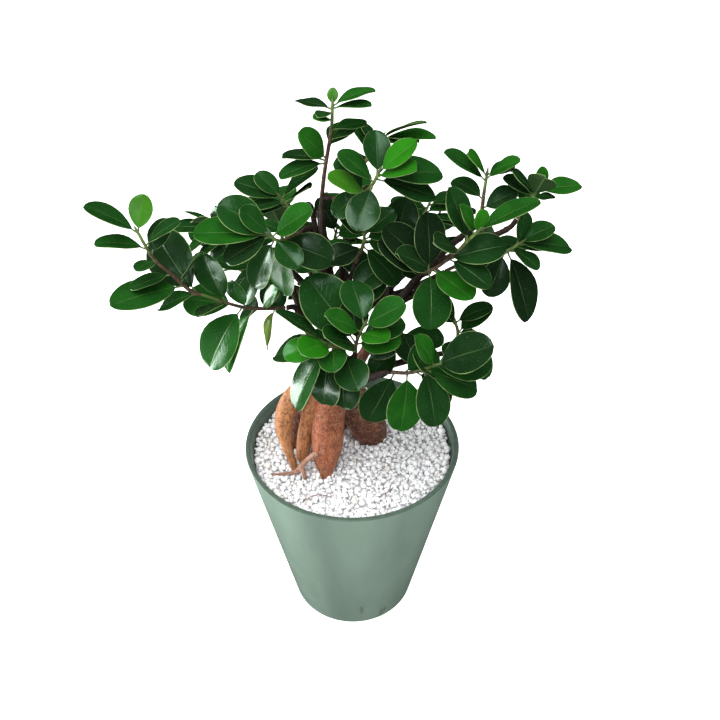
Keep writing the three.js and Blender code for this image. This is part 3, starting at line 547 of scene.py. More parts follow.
def sheet(leaf, lift, grow):
    places = np.array(SHEET_PLACES, float)
    return on_blade(leaf, places[:, 0], places[:, 1], lift, grow)


def stalk_lines(leaf, radius):
    end = on_blade(leaf, 0.0, 0.0)
    ways = [leaf.side, -leaf.side, leaf.up, -leaf.up]
    return np.array([(leaf.root + way * radius, end + way * radius) for way in ways])


def leaf_guard(leaf):
    points = sheet(leaf, 0.0, 0.0)
    lines = stalk_lines(leaf, STALK_RADIUS)
    ribs = []
    for p, q in ((lines[0], lines[1]), (lines[2], lines[3])):
        ribs += [(p[0], p[1], q[0]), (p[1], q[1], q[0])]
    edges = np.concatenate([points[SHEET_EDGES], lines])
    return Guard(leaf.shoot, points[SHEET_FACES], edges, np.array(ribs), False)


def tube_guard(owner, route, sides, steps):
    rings = tube_rings(route, sides, steps, GUARD_SWELL)
    near, far = rings[:-1], rings[1:]
    edges = np.stack([near, far], 2).reshape(-1, 2, 3)
    half = sides // 2
    a, b, c, d = near[:, :half], far[:, :half], near[:, half:], far[:, half:]
    faces = np.concatenate([np.stack([a, b, c], 2), np.stack([b, d, c], 2)], 1)
    return Guard(owner, faces.reshape(-1, 3, 3), edges, NO_FACES, True)


def crosses(edges, faces):
    """Whether any of the edges passes through any of the faces."""
    if not len(faces):
        return False
    start = edges[:, None, 0]
    way = edges[:, None, 1] - start
    corner = faces[None, :, 0]
    e1 = faces[None, :, 1] - corner
    e2 = faces[None, :, 2] - corner
    h = np.cross(way, e2)
    det = (e1 * h).sum(-1)
    real = np.abs(det) > 1e-9
    share = 1 / np.where(real, det, 1.0)
    s = start - corner
    u = (s * h).sum(-1) * share
    w = np.cross(s, e1)
    v = (way * w).sum(-1) * share
    t = (e2 * w).sum(-1) * share
    return bool((real & (u >= 0) & (v >= 0) & (u + v <= 1) & (t >= 0) & (t <= 1)).any())


def is_clear(leaf, guards):
    skins = [sheet(leaf, lift, CLEARANCE) for lift in (-CLEARANCE, 0.0, CLEARANCE)]
    faces = np.concatenate([skin[SHEET_FACES] for skin in skins])
    edges = np.concatenate([skin[SHEET_EDGES] for skin in skins])
    low, high = faces.min((0, 1)), faces.max((0, 1))
    if low[2] < LOWEST_LEAF:
        return False
    low, high = low - GUARD_REACH, high + GUARD_REACH
    near = [g for g in guards if (g.low <= high).all() and (low <= g.high).all()]
    if not near:
        return True
    solid = [g.faces for g in near] + [g.stalk_faces for g in near]
    if crosses(edges, np.concatenate(solid)):
        return False
    if crosses(np.concatenate([g.edges for g in near]), faces):
        return False
    own = leaf.shoot
    firm = [g.faces for g in near if not (g.is_tube and g.owner == own)]
    firm += [g.stalk_faces for g in near if g.owner != own]
    return not crosses(stalk_lines(leaf, 2 * STALK_RADIUS), np.concatenate(firm + [NO_FACES]))


def place_leaf(plant, shoot, number, row):
    u, turn, rise, length, freshness, faces = (*row, None, None)[:6]
    if freshness is None:
        freshness = MIDDLE_AGE + AGE_SPREAD * jitter(number + AGE_DRAW)
    if faces is None:
        faces = shoot.get("faces", FACES)
    for yaw, tilt, share in TURNS:
        turned = (u, turn + yaw, rise + tilt, length * share, faces)
        leaf = make_leaf(shoot, number, turned, freshness)
        if is_clear(leaf, plant["guards"]):
            plant["leaves"].append(leaf)
            plant["guards"].append(leaf_guard(leaf))
            return


def spiral_row(shoot, index):
    """Further leaves go round the stem by the golden angle, spread wide low down."""
    count, length, first = shoot["more"]
    share = (index + 0.5) / count
    u = SPIRAL_START + SPIRAL_REACH * share
    ahead = heading(shoot["route"], u)
    across = unit(np.cross(ahead, SPIRAL_ACROSS))
    up = np.cross(ahead, across)
    angle = math.radians(first + GOLDEN_ANGLE * index)
    spread = math.radians(SPREAD_LOW - SPREAD_LOSS * share)
    out = across * math.cos(angle) + up * math.sin(angle)
    way = ahead * math.cos(spread) + out * math.sin(spread)
    return u, math.degrees(math.atan2(way[1], way[0])), math.degrees(math.asin(way[2])), length


def stem_route(shoot):
    route = shoot["route"]
    radii = np.linspace(STEM_START, STEM_END, len(route))
    return [(*point, radius) for point, radius in zip(route, radii)]


def limb_route(limb, shoots):
    """A limb ends square on its shoot, a hair short of it."""
    name, route = limb
    start = np.array(shoots[name]["route"][0], float)
    way = heading(shoots[name]["route"], 0)
    end = STEM_START + LIMB_STEP
    return [*route, (*(start - way * STEM_LEAD), end), (*(start - way * SEAT_GAP), end)]


def grow_plant():
    """The plant's routes and leaves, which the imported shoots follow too."""
    shoots = {name: {"name": name, **shoot} for name, shoot in SHOOTS.items()}
    for shoot in shoots.values():
        if "after" in shoot:
            before = SHOOTS[shoot["after"]]["route"]
            way = heading(before, 1)
            tip = np.array(before[-1], float)
            shoot["route"] = [tip + way * SEAT_GAP, tip + way * STEM_LEAD, *shoot["route"]]
    limbs = [limb_route(limb, shoots) for limb in LIMBS]
    guards = [tube_guard("trunk", route, *TRUNK_GUARD_MESH) for route in [*ROOTS, NECK]]
    guards += [tube_guard("trunk", route, *LIMB_GUARD_MESH) for route in limbs]
    for shoot in shoots.values():
        steps = STEM_STEPS * (len(shoot["route"]) - 1)
        guards.append(tube_guard(shoot["name"], stem_route(shoot), STEM_SIDES, steps))
    plant = {"shoots": shoots, "limbs": limbs, "guards": guards, "leaves": []}
    rows = [(shoot, row) for shoot in shoots.values() for row in shoot.get("leaves", ())]
    for shoot in shoots.values():
        rows += [(shoot, spiral_row(shoot, index)) for index in range(shoot["more"][0])]
    for number, (shoot, row) in enumerate(rows, 1):
        place_leaf(plant, shoot, number, row)
    return plant


# Finishes

# Fixed shades, the veins of a blade, and the part of a scale that an attribute spans
YOUNG_WOOD = ((0.035, 0.02, 0.012), (0.1, 0.06, 0.035))
YOUNG_GREEN = ((0.06, 0.11, 0.02), (0.15, 0.25, 0.05))
BLUE_SHADE = (0, 0.006, 0.002)
# Pale specks on the leaves: dust, and painted glints of light
DUST_AND_GLINT = (0.3, 0.5, 0.3)
WAX_TINT = (0.7, 1, 0.8, 1)
DULLING = (0.9, 0.87, 0.8)
VEIN_PAIRS = 11.0
VEIN_SLANT = 3.6
REDNESS_RANGE = 0.8
AGE_RANGE = 0.8


class Finish:
    """A material, and short ways to add the nodes that feed its shader."""

    def __init__(self, name, roughness, specular):
        self.material = bpy.data.materials.new(name)
        self.material.use_nodes = True
        self.nodes = self.material.node_tree.nodes
        self.links = self.material.node_tree.links
        self.shader = next(node for node in self.nodes if node.type == "BSDF_PRINCIPLED")
        self.give("Roughness", roughness)
        self.give("Specular IOR Level", specular)
        self.place = self.node("ShaderNodeTexCoord").outputs["Object"]

    def node(self, kind, inputs=(), **settings):
        node = self.nodes.new(kind)
        for key, value in settings.items():
            setattr(node, key, value)
        for key, value in dict(inputs).items():
            self.feed(node.inputs[key], value)
        return node

    def feed(self, socket, value):
        if isinstance(value, bpy.types.NodeSocket):
            self.links.new(value, socket)
        else:
            socket.default_value = value

    def give(self, socket, value):
        self.feed(self.shader.inputs[socket], value)

    def paint(self, value, *stops):
        """Colours the whole piece by the shades that a value picks."""
        self.give("Base Color", self.shades(value, stops))

    def maths(self, operation, a, b=0.0):
        return self.node("ShaderNodeMath", {0: a, 1: b}, operation=operation).outputs[0]

    def times(self, a, b):
        return self.maths("MULTIPLY", a, b)

    def fit(self, value, low, high, new_low=0.0, new_high=1.0):
        """The value, which runs from low to high, made to run from new_low to new_high."""
        inputs = {0: value, 1: low, 2: high, 3: new_low, 4: new_high}
        return self.node("ShaderNodeMapRange", inputs, interpolation_type="SMOOTHSTEP").outputs[0]

    def grain(self, per_metre, detail, stretch=(1, 1, 1)):
        """Noise with so many cells to the metre, packed closer along an axis by its stretch."""
        where = self.node("ShaderNodeMapping", {"Vector": self.place, "Scale": stretch})
        inputs = {"Vector": where.outputs[0], "Scale": per_metre, "Detail": detail}
        return self.node("ShaderNodeTexNoise", inputs).outputs[0]

    def shades(self, value, stops):
        node = self.node("ShaderNodeValToRGB", {0: value})
        elements = node.color_ramp.elements
        while len(elements) < len(stops):
            elements.new(0.5)
        for element, (place, shade) in zip(elements, stops):
            element.position = place
            element.color = (*shade, 1)
        return node.outputs[0]

    def mix(self, share, a, b):
        a, b = [(*c, 1) if isinstance(c, tuple) else c for c in (a, b)]
        return self.node("ShaderNodeMix", {0: share, 6: a, 7: b}, data_type="RGBA").outputs[2]

    def relief(self, height, depth, under=None):
        """Bump as deep as so many millimetres."""
        inputs = {"Height": height, "Distance": depth * MM, "Strength": 1.0}
        node = self.node("ShaderNodeBump", inputs)
        if under is not None:
            self.links.new(under, node.inputs["Normal"])
        self.links.new(node.outputs[0], self.shader.inputs["Normal"])
        return node.outputs[0]

    def split(self, vector):
        return self.node("ShaderNodeSeparateXYZ", {0: vector}).outputs

    def attribute(self, name):
        return self.node("ShaderNodeAttribute", attribute_name=name).outputs["Fac"]

    def blade_places(self):
        """How far out from the rib a point of a blade lies, and how far along it."""
        u, v, _ = self.split(self.node("ShaderNodeUVMap", uv_map="blade").outputs[0])
        return self.maths("ABSOLUTE", self.maths("SUBTRACT", self.times(u, 2.0), 1.0)), v


def colour(value):
    return tuple(value[:])


def dim(base, share):
    return tuple(c * share for c in base)


def pot_skin(pot):
    """Satin sage green plastic, with faint upright streaks, cloudy patches and scuffs."""
    skin = Finish("sage_plastic", 0.42, 0.35)
    height = skin.split(skin.place)[2]
    streak = skin.grain(26, 3, (1, 1, 0.08))
    cloud = skin.grain(13, 2)
    base = colour(pot.colour)
    deep = dim(base, 0.8)
    pale = tuple(min(c * 1.12, 1) for c in base)
    body = skin.shades(streak, [(0.3, deep), (0.5, base), (0.7, pale)])
    body = skin.mix(skin.fit(cloud, 0.35, 0.7, 0, 0.18), body, dim(base, 0.9))
    scuff = skin.grain(150, 2, (1, 1, 0.12))
    low = skin.fit(height, pot_high.z * 0.42, pot_high.z * 0.1)
    rub = skin.times(skin.fit(scuff, 0.62, 0.72), skin.times(low, 0.5))
    skin.give("Base Color", skin.mix(rub, body, dim(base, 0.35)))
    skin.give("Roughness", skin.fit(skin.grain(60, 3), 0.3, 0.7, 0.36, 0.5))
    skin.relief(skin.grain(900, 3), 0.02)
    return skin.material


def rim_skin(pot):
    """The rim and the inside, a deeper green that is smoother to the touch."""
    skin = Finish("rim_plastic", 0.34, 0.35)
    base = colour(pot.rim_colour)
    skin.paint(skin.grain(300, 3), (0.35, dim(base, 0.8)), (0.65, base))
    skin.relief(skin.grain(700, 2), 0.02)
    return skin.material


def mix_skin(filling):
    """Dark fibrous potting mix."""
    skin = Finish("dark_mix", 0.95, 0.2)
    crumb = skin.grain(450, 4)
    base = colour(filling.mix_colour)
    skin.paint(crumb, (0.35, dim(base, 0.4)), (0.65, base))
    skin.relief(crumb, 1.2)
    return skin.material


def grain_skin(filling):
    """White foamed rock: each grain a shade of its own, with small pits."""
    skin = Finish("white_perlite", 0.9, 0.25)
    own = skin.attribute("shade")
    base = colour(filling.grain_colour)
    dull = tuple(c * share for c, share in zip(base, DULLING))
    body = skin.shades(own, [(0.0, dull), (0.12, base), (1.0, base)])
    pits = skin.grain(2600, 3)
    skin.give("Base Color", skin.mix(skin.fit(pits, 0.3, 0.42, 0.3, 0), body, dull))
    skin.relief(pits, 0.4)
    return skin.material


def bark_skin(wood):
    """Root skin: tan to reddish brown, fissured, with painted shade in the creases and cracks,
    and pale flaky rings; grey brown limbs.
    """
    skin = Finish("ginseng_bark", 0.6, 0.25)
    redness = skin.attribute("redness")
    tan, red, dark = colour(wood.tan), colour(wood.red), colour(wood.dark_red)
    root = skin.shades(skin.times(redness, REDNESS_RANGE), [
        (0.0, tan), (0.4, red), (0.8, dark), (1.0, colour(wood.dry))])
    blotch = skin.grain(95, 4, (1, 1, 0.6))
    root = skin.mix(skin.fit(blotch, 0.5, 0.72, 0, 0.45), root, dim(red, 0.5))
    root = skin.mix(skin.fit(blotch, 0.45, 0.25, 0, 0.35), root, tan)
    fibre = skin.grain(650, 5, (1.5, 1.5, 0.22))
    root = skin.mix(skin.fit(fibre, 0.52, 0.3, 0, 0.7), root, dim(dark, 0.45))
    ring = skin.grain(520, 5, (0.3, 0.3, 1.8))
    ring_line = skin.fit(skin.maths("ABSOLUTE", skin.maths("SUBTRACT", ring, 0.52)), 0.035, 0.0)
    flake = skin.fit(skin.grain(240, 3), 0.42, 0.58)
    pale = skin.times(skin.times(ring_line, flake), 0.95)
    root = skin.mix(pale, root, colour(wood.pale_crack))
    # Painted shade: the creases and cracks are darkened almost to black
    hollow = skin.fit(skin.attribute("hollow"), 0.3, 1.0, 0, 0.5)
    root = skin.mix(hollow, root, dim(dark, 0.3))
    limb = colour(wood.twig)
    twig = skin.shades(skin.grain(500, 3), [(0.35, dim(limb, 0.5)), (0.7, limb)])
    skin.give("Base Color", skin.mix(skin.attribute("limb"), root, twig))
    first = skin.relief(ring_line, 0.3)
    skin.relief(fibre, 0.7, first)
    return skin.material


def stem_skin():
    """Young stems, brown below and green towards the tip."""
    skin = Finish("young_stem", 0.5, 0.3)
    fleck = skin.grain(420, 3)
    wood = skin.shades(fleck, list(zip((0.35, 0.65), YOUNG_WOOD)))
    green = skin.shades(fleck, list(zip((0.35, 0.65), YOUNG_GREEN)))
    skin.give("Base Color", skin.mix(skin.attribute("freshness"), wood, green))
    skin.relief(skin.grain(1200, 2), 0.12)
    return skin.material


def stalk_skin(leaves):
    """Leaf stalks and buds: a waxy yellow green."""
    skin = Finish("leaf_stalk", 0.4, 0.3)
    base = colour(leaves.margin_colour)
    skin.paint(skin.grain(300, 2), (0.3, dim(base, 0.3)), (0.7, dim(base, 0.6)))
    skin.relief(skin.grain(1500, 2), 0.06)
    return skin.material


def leaf_skin(leaves):
    """The glossy upper face: its green follows the leaf's age, with veins drawn on its UVs, and
    pale specks of dust and painted glints.
    """
    skin = Finish("leaf_face", 0.26, leaves.gloss)
    skin.give("Specular Tint", WAX_TINT)
    side, along = skin.blade_places()
    edge = colour(leaves.margin_colour)
    freshness = skin.times(skin.attribute("freshness"), AGE_RANGE)
    green = skin.shades(freshness, [
        (0.0, colour(leaves.oldest)), (0.36, colour(leaves.grown)), (0.78, colour(leaves.young)),
        (0.95, colour(leaves.yellowing))])
    cloud = skin.grain(70, 3)
    shade = skin.mix(0.5, green, BLUE_SHADE)
    green = skin.mix(skin.fit(cloud, 0.38, 0.66, 0, 0.5), green, shade)
    slant = skin.maths("SUBTRACT", skin.times(along, VEIN_PAIRS), skin.times(side, VEIN_SLANT))
    wander = skin.maths("ADD", slant, skin.grain(160, 1))
    wave = skin.maths("SINE", skin.times(wander, 2 * math.pi))
    fade = skin.fit(side, 0.95, 0.1)
    vein = skin.times(skin.fit(wave, 0.8, 1.0), fade)
    rib = skin.fit(side, 0.04, 0.01)
    pale = skin.mix(0.3, green, edge)
    green = skin.mix(skin.times(vein, 0.06), green, pale)
    tapered = skin.times(rib, skin.fit(along, 1.0, 0.5, 0.05, 0.4))
    green = skin.mix(tapered, green, skin.mix(0.5, green, edge))
    # Fine pale specks, partly dust and partly painted glints of light
    dust_and_glint = skin.fit(skin.grain(1500, 1), 0.7, 0.78)
    green = skin.mix(skin.times(dust_and_glint, 0.2), green, DUST_AND_GLINT)
    skin.give("Base Color", green)
    skin.give("Roughness", skin.fit(skin.grain(110, 2), 0.35, 0.65, 0.15, 0.27))
    dip = skin.maths("ADD", skin.times(vein, -0.12), skin.times(rib, -1.0))
    first = skin.relief(dip, 0.12)
    skin.relief(skin.grain(260, 2), 0.12, first)
    return skin.material


def leaf_back_skin(leaves):
    """The duller, paler underside, with a raised rib."""
    skin = Finish("leaf_back", 0.5, 0.25)
    side, _ = skin.blade_places()
    pale = colour(leaves.underside)
    green = skin.mix(skin.grain(200, 3), pale, dim(pale, 0.6))
    rib = skin.fit(side, 0.07, 0.02)
    ribbed = skin.mix(skin.times(rib, 0.6), green, colour(leaves.margin_colour))
    skin.give("Base Color", ribbed)
    skin.relief(skin.maths("ADD", rib, skin.grain(600, 2)), 0.15)
    return skin.material


def margin_skin(leaves):
    """The thin pale edge round each blade."""
    skin = Finish("leaf_margin", 0.4, 0.3)
    base = colour(leaves.margin_colour)
    skin.paint(skin.grain(110, 3), (0.35, dim(base, 0.4)), (0.6, base))
    skin.relief(skin.grain(900, 2), 0.05)
    return skin.material


def floor_skin(stage):
    """Plain pale studio floor, with the barest unevenness."""
    skin = Finish("studio_floor", 0.8, 0.1)
    pale = colour(stage.floor_colour)
    skin.paint(skin.grain(3, 2), (0.3, dim(pale, 0.99)), (0.7, pale))
    skin.give("Emission Color", (1, 1, 1, 1))
    skin.give("Emission Strength", stage.floor_glow)
    return skin.material


# Ways of working


def clear_selection():
    if bpy.context.object and bpy.context.object.mode != "OBJECT":
        bpy.ops.object.mode_set(mode="OBJECT")
    bpy.ops.object.select_all(action="DESELECT")


def pick(*objects):
    """Selects only these objects, the first one active."""
    clear_selection()
    for obj in objects:
        obj.select_set(True)
    bpy.context.view_layer.objects.active = objects[0]


def smooth(obj):
    pick(obj)
    bpy.ops.object.shade_smooth()


def add_cone(sides, low_radius, high_radius, low, high):
    """A tapered round block between two heights."""
    clear_selection()
    bpy.ops.mesh.primitive_cone_add(
        vertices=sides, radius1=low_radius, radius2=high_radius, depth=high - low,
        location=(0, 0, (low + high) / 2))
    return bpy.context.object


def modify(obj, kind, **settings):
    """Adds a modifier and applies it."""
    pick(obj)
    modifier = obj.modifiers.new(kind.lower(), kind)
    for key, value in settings.items():
        setattr(modifier, key, value)
    bpy.ops.object.modifier_apply(modifier=modifier.name)


def finish_piece(obj, name, slot, nodes, *materials):
    """Names a piece, puts its place into its mesh and ties it to the frame."""
    pick(obj)
    bpy.ops.object.transform_apply(location=True, rotation=True, scale=True)
    obj.name = name
    obj.data.name = name
    if materials:
        obj.data.materials.clear()
        for material in materials:
            obj.data.materials.append(material)
    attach(obj, "root")
    if nodes:
        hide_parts(*nodes)
    return obj


def select_faces(obj, test):
    """In edit mode, selects the faces whose centre and normal pass the test."""
    bpy.ops.mesh.select_mode(type="FACE")
    bpy.ops.mesh.select_all(action="DESELECT")
    bpy.ops.object.mode_set(mode="OBJECT")
    for face in obj.data.polygons:
        face.select = bool(test(face.center, face.normal))
    bpy.ops.object.mode_set(mode="EDIT")


def corners(mesh):
    points = np.zeros(len(mesh.vertices) * 3)
    mesh.vertices.foreach_get("co", points)
    return points.reshape(-1, 3)


def normals(mesh):
    values = np.zeros(len(mesh.vertices) * 3)
    mesh.vertex_normals.foreach_get("vector", values)
    return values.reshape(-1, 3)


def move_corners(mesh, points):
    mesh.vertices.foreach_set("co", np.asarray(points, np.float32).ravel())
    mesh.update()


def set_attribute(mesh, name, values):
    attribute = mesh.attributes.get(name) or mesh.attributes.new(name, "FLOAT", "POINT")
    attribute.data.foreach_set("value", np.asarray(values, np.float32))


def tube_object(tubes, round_steps, kinds=None):
    """One mesh of round tubes, each a list of x, y, z and radius in millimetres.

    kinds gives the material slot of each tube.
    """
    clear_selection()
    bpy.ops.object.add(type="CURVE")
    obj = bpy.context.object
    obj.data.dimensions = "3D"
    obj.data.bevel_depth = 1.0
    obj.data.bevel_resolution = round_steps
    obj.data.use_fill_caps = True
    if kinds:
        for _ in range(max(kinds) + 1):
            obj.data.materials.append(None)
    for index, tube in enumerate(tubes):
        spline = obj.data.splines.new("POLY")
        spline.points.add(len(tube) - 1)
        for point, (x, y, z, radius) in zip(spline.points, tube):
            point.co = (x * MM, y * MM, z * MM, 1)
            point.radius = radius * MM
        if kinds:
            spline.material_index = kinds[index]
    bpy.ops.object.convert(target="MESH")
    return bpy.context.object


def sampled(route, step):
    """Points every so many millimetres along a route."""
    points = np.asarray(route, float)
    distance = np.linalg.norm(np.diff(points[:, :3], axis=0), axis=1).sum()
    count = max(int(distance / step), 3)
    return [on_route(route, u) for u in np.linspace(0, 1, count + 1)]


# Pot

BEVEL_ANGLE = math.radians(40)
SMOOTH_ANGLE = math.radians(35)


def wall_slope(pot):
    return (pot.rim_radius - pot.base_radius) / pot.height


def model_pot(pot):
    """A tapered tub: its top is inset for the rim, and pushed down for the hollow."""
    obj = add_cone(pot.sides, pot.base_radius, pot.rim_radius, 0, pot.height)
    bpy.ops.object.transform_apply(location=True)
    bpy.ops.object.mode_set(mode="EDIT")
    select_faces(obj, lambda centre, normal: normal.z > 0.9)
    bpy.ops.mesh.inset(thickness=pot.wall)
    drop = pot.floor - pot.height
    bpy.ops.mesh.extrude_region_move(TRANSFORM_OT_translate={"value": (0, 0, drop)})
    inside_top = pot.rim_radius - pot.wall
    taper = wall_slope(pot)
    inside_floor = inside_top + taper * drop
    shrink = inside_floor / inside_top
    bpy.ops.transform.resize(value=(shrink, shrink, 1), center_override=(0, 0, pot.floor))
    bpy.ops.object.mode_set(mode="OBJECT")
    modify(
        obj, "BEVEL", width=pot.edge, segments=4, limit_method="ANGLE", angle_limit=BEVEL_ANGLE)
    pick(obj)
    bpy.ops.object.shade_smooth_by_angle(angle=SMOOTH_ANGLE)
    finish_piece(obj, "pot_tub", "pot_plastic", ["pot"], pot_skin(pot), rim_skin(pot))
    half_edge = 0.5 * pot.edge
    for face in obj.data.polygons:
        x, y, z = face.center
        wall_radius = pot.base_radius + taper * z
        inside = math.hypot(x, y) < wall_radius - half_edge and z > pot.floor * 0.9
        face.material_index = int(inside or z > pot.height - half_edge)


# Filling

# Grains: sizes beside a middling one, and how much they differ, also along each axis
GRAIN_KINDS = 6
GRAIN_SIZES = (0.55, 0.8, 1, 1.2)
SIZE_SPREAD = (0.85, 1.15)
AXIS_SPREAD = (0.8, 1.15)

# Their lumps and knobs: how close together, how deep, and the step between two grains
LUMPS = (1.1, 0.4, 7.3)
KNOBS = (2.7, 0.22, 5.1)

# Their heap, in millimetres and in shares of a grain's radius
WALL_REACH = 0.8
ROOT_OVERLAP = 0.6
SWELL = 1.1
SWELL_CLOSENESS = 0.06
SWELL_DRAW = 3.7
LEVEL_SPREAD = 0.45

# The bed that they lie on, and each layer: its drop below the top, and how tightly it packs
BED_DROP = 4.5
BED_SHADE = 0.1
BED_SIDES = 96
LAYERS = (("perlite_under", 2.7, 0.84), ("perlite_top", 0.3, 0.82))


def dress_mix(filling):
    """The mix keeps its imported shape, and gets a crumbly skin."""
    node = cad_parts["potting_mix"]
    node.data.materials.clear()
    node.data.materials.append(mix_skin(filling))


def grain_shapes(count):
    """Lumpy grains, each from a ball pushed in and out by noise."""
    shapes = []
    lump_closeness, lump_depth, lump_step = LUMPS
    knob_closeness, knob_depth, knob_step = KNOBS
    for seed in range(count):
        clear_selection()
        bpy.ops.mesh.primitive_uv_sphere_add(segments=8, ring_count=6, radius=1)
        obj = bpy.context.object
        points = corners(obj.data)
        to_lump = Vector((lump_step * seed, 0, 0))
        to_knob = Vector((0, knob_step * seed, 0))
        lumps = [noise.noise(Vector(p) * lump_closeness + to_lump) for p in points]
        knobs = [noise.noise(Vector(p) * knob_closeness + to_knob) for p in points]
        swell = 1 + lump_depth * np.array(lumps) + knob_depth * np.array(knobs)
        points = points * swell[:, None]
        faces = [tuple(face.vertices) for face in obj.data.polygons]
        shapes.append((points, faces))
        bpy.data.objects.remove(obj)
    return shapes


def root_holes(height):
    """Where each swollen root passes through a level: x, y, radius."""
    holes = []
    for route in ROOTS:
        points = np.array([on_route(route, u) for u in np.linspace(0, 1, 80)])
        holes.append(points[np.abs(points[:, 2] - height).argmin()][[0, 1, 3]])
    return np.array(holes)


def scatter_grains(random, filling, reach, height, packing):
    """Grains on a level disc, kept apart by their radii: x, y, z, radius."""
    holes = root_holes(height)
    placed = np.zeros((0, 4))
    for _ in range(filling.tries):
        radius = filling.grain_radius / MM * random.choice(GRAIN_SIZES)
        radius *= random.uniform(*SIZE_SPREAD)
        distance = (reach - radius * WALL_REACH) * math.sqrt(random.random())
        angle = random.uniform(0, 2 * math.pi)
        x, y = distance * math.cos(angle), distance * math.sin(angle)
        if (np.hypot(holes[:, 0] - x, holes[:, 1] - y) < holes[:, 2] - ROOT_OVERLAP).any():
            continue
        if len(placed):
            gaps = np.hypot(placed[:, 0] - x, placed[:, 1] - y)
            if (gaps < packing * (placed[:, 3] + radius)).any():
                continue
        place = Vector((x * SWELL_CLOSENESS, y * SWELL_CLOSENESS, SWELL_DRAW))
        swell = SWELL * noise.noise(place)
        z = height + swell + LEVEL_SPREAD * radius * random.uniform(-1, 1)
        placed = np.concatenate([placed, [[x, y, z, radius]]])
    return placed


def turned_any_way(random, count):
    """Rotation matrices spread evenly over all turns."""
    q = random.normal(size=(count, 4))
    w, x, y, z = (q / np.linalg.norm(q, axis=1)[:, None]).T
    rows = [
        [1 - 2 * (y * y + z * z), 2 * (x * y - z * w), 2 * (x * z + y * w)],
        [2 * (x * y + z * w), 1 - 2 * (x * x + z * z), 2 * (y * z - x * w)],
        [2 * (x * z - y * w), 2 * (y * z + x * w), 1 - 2 * (x * x + y * y)],
    ]
    return np.array(rows).transpose(2, 0, 1)


def heap_object(random, grains, shapes):
    """One mesh of grains, with a shade for each."""
    turns = turned_any_way(random, len(grains))
    points, faces, shade = [], [], []
    start = 0
    for index, (x, y, z, radius) in enumerate(grains):
        shape, shape_faces = shapes[index % len(shapes)]
        size = radius * random.uniform(*AXIS_SPREAD, 3)
        points.append((shape * size) @ turns[index].T + (x, y, z))
        faces += [tuple(start + corner for corner in face) for face in shape_faces]
        shade.append(np.full(len(shape), random.random()))
        start += len(shape)
    clear_selection()
    bpy.ops.object.add(type="MESH")
    obj = bpy.context.object
    obj.data.from_pydata(np.concatenate(points) * MM, [], faces)
    set_attribute(obj.data, "shade", np.concatenate(shade))
    smooth(obj)
    return obj


def model_perlite(filling, pot):
    """White grains in two layers, on a bed that closes the gaps between them."""
    random = np.random.default_rng(filling.seed)
    skin = grain_skin(filling)
    shapes = grain_shapes(GRAIN_KINDS)
    top = filling.top / MM

    def inside(z):
        return pot.base_radius + wall_slope(pot) * z - pot.wall - SEAT_GAP * MM

    low, high = mix_high.z + SEAT_GAP * MM, (top - BED_DROP) * MM
    bed = add_cone(BED_SIDES, inside(low), inside(high), low, high)
    set_attribute(bed.data, "shade", np.full(len(bed.data.vertices), BED_SHADE))
    finish_piece(bed, "perlite_bed", "perlite", ["perlite_layer"], skin)
    for name, drop, packing in LAYERS:
        height = top - drop
        reach = inside(height * MM) / MM
        grains = scatter_grains(random, filling, reach, height, packing)
        heap = heap_object(random, grains, shapes)
        finish_piece(heap, name, "perlite", ["perlite_layer"], skin)


# Wood

# Steps along a route for its tube and for its bark, and how much fatter the tube is made
TUBE_STEP = 2.5
BARK_STEP = 1.5
TUBE_SWELL = 0.15
NEAREST = 12

# Where a limb's bark takes over: below this radius, within this range, and at the neck
TWIG_RADIUS = 4.6
TWIG_FADE = 1.6
NECK_TWIG = 0.15

# Bark noise: how close across and up the wood, and an offset that tells the kinds apart
LUMP_NOISE = (0.07, 0.05, 0)
RING_NOISE = (0.09, 0.62, 0)
RIPPLE_NOISE = (0.3, 1.15, 40)
SPLIT_NOISE = (0.55, 0.1, 9)
RING_SHARPNESS = 7
SPLIT_SHARPNESS = 8

# Depths of the bark in millimetres, on roots and then on limbs
ROOT_LUMP = 0.5
ROOT_RIPPLE = 0.16
CREASE_DEPTH = 0.32
CRACK_DEPTH = 0.34
KNOT_SPACING = 9.5
KNOT_HEIGHT = 0.28
TWIG_LUMP = 0.22
TWIG_RIPPLE = 0.1

# Rootlets: their radius, how far their ends dip, and what the bark finish reads on them
THREAD_RADIUS = 0.28
THREAD_DIP = 1.2
THREAD_LOOK = {"redness": 0.5, "limb": 0.5, "hollow": 0.2}


def wood_samples(plant):
    """Points along every root and limb, with what the bark needs to know there."""
    samples = []
    routes = [(route, redness, 0) for route, redness in zip(ROOTS, ROOT_REDNESS)]
    routes += [(route, DRY, 0) for route in THIN_ROOTS]
    routes += [(NECK, NECK_REDNESS, NECK_TWIG)]
    routes += [(route, NECK_REDNESS, 1) for route in plant["limbs"]]
    for route, redness, limb in routes:
        along = 0.0
        before = None
        for point in sampled(route, BARK_STEP):
            if before is not None:
                along += np.linalg.norm(point[:3] - before[:3])
            before = point
            thin = min(max((TWIG_RADIUS - point[3]) / TWIG_FADE, 0), 1)
            samples.append((*point, along, redness, thin if limb == 1 else limb))
    return np.array(samples)


def bark_noise(point, kind):
    across, up, offset = kind
    x, y, z = point
    return noise.noise(Vector((x * across, y * across, z * up + offset)))


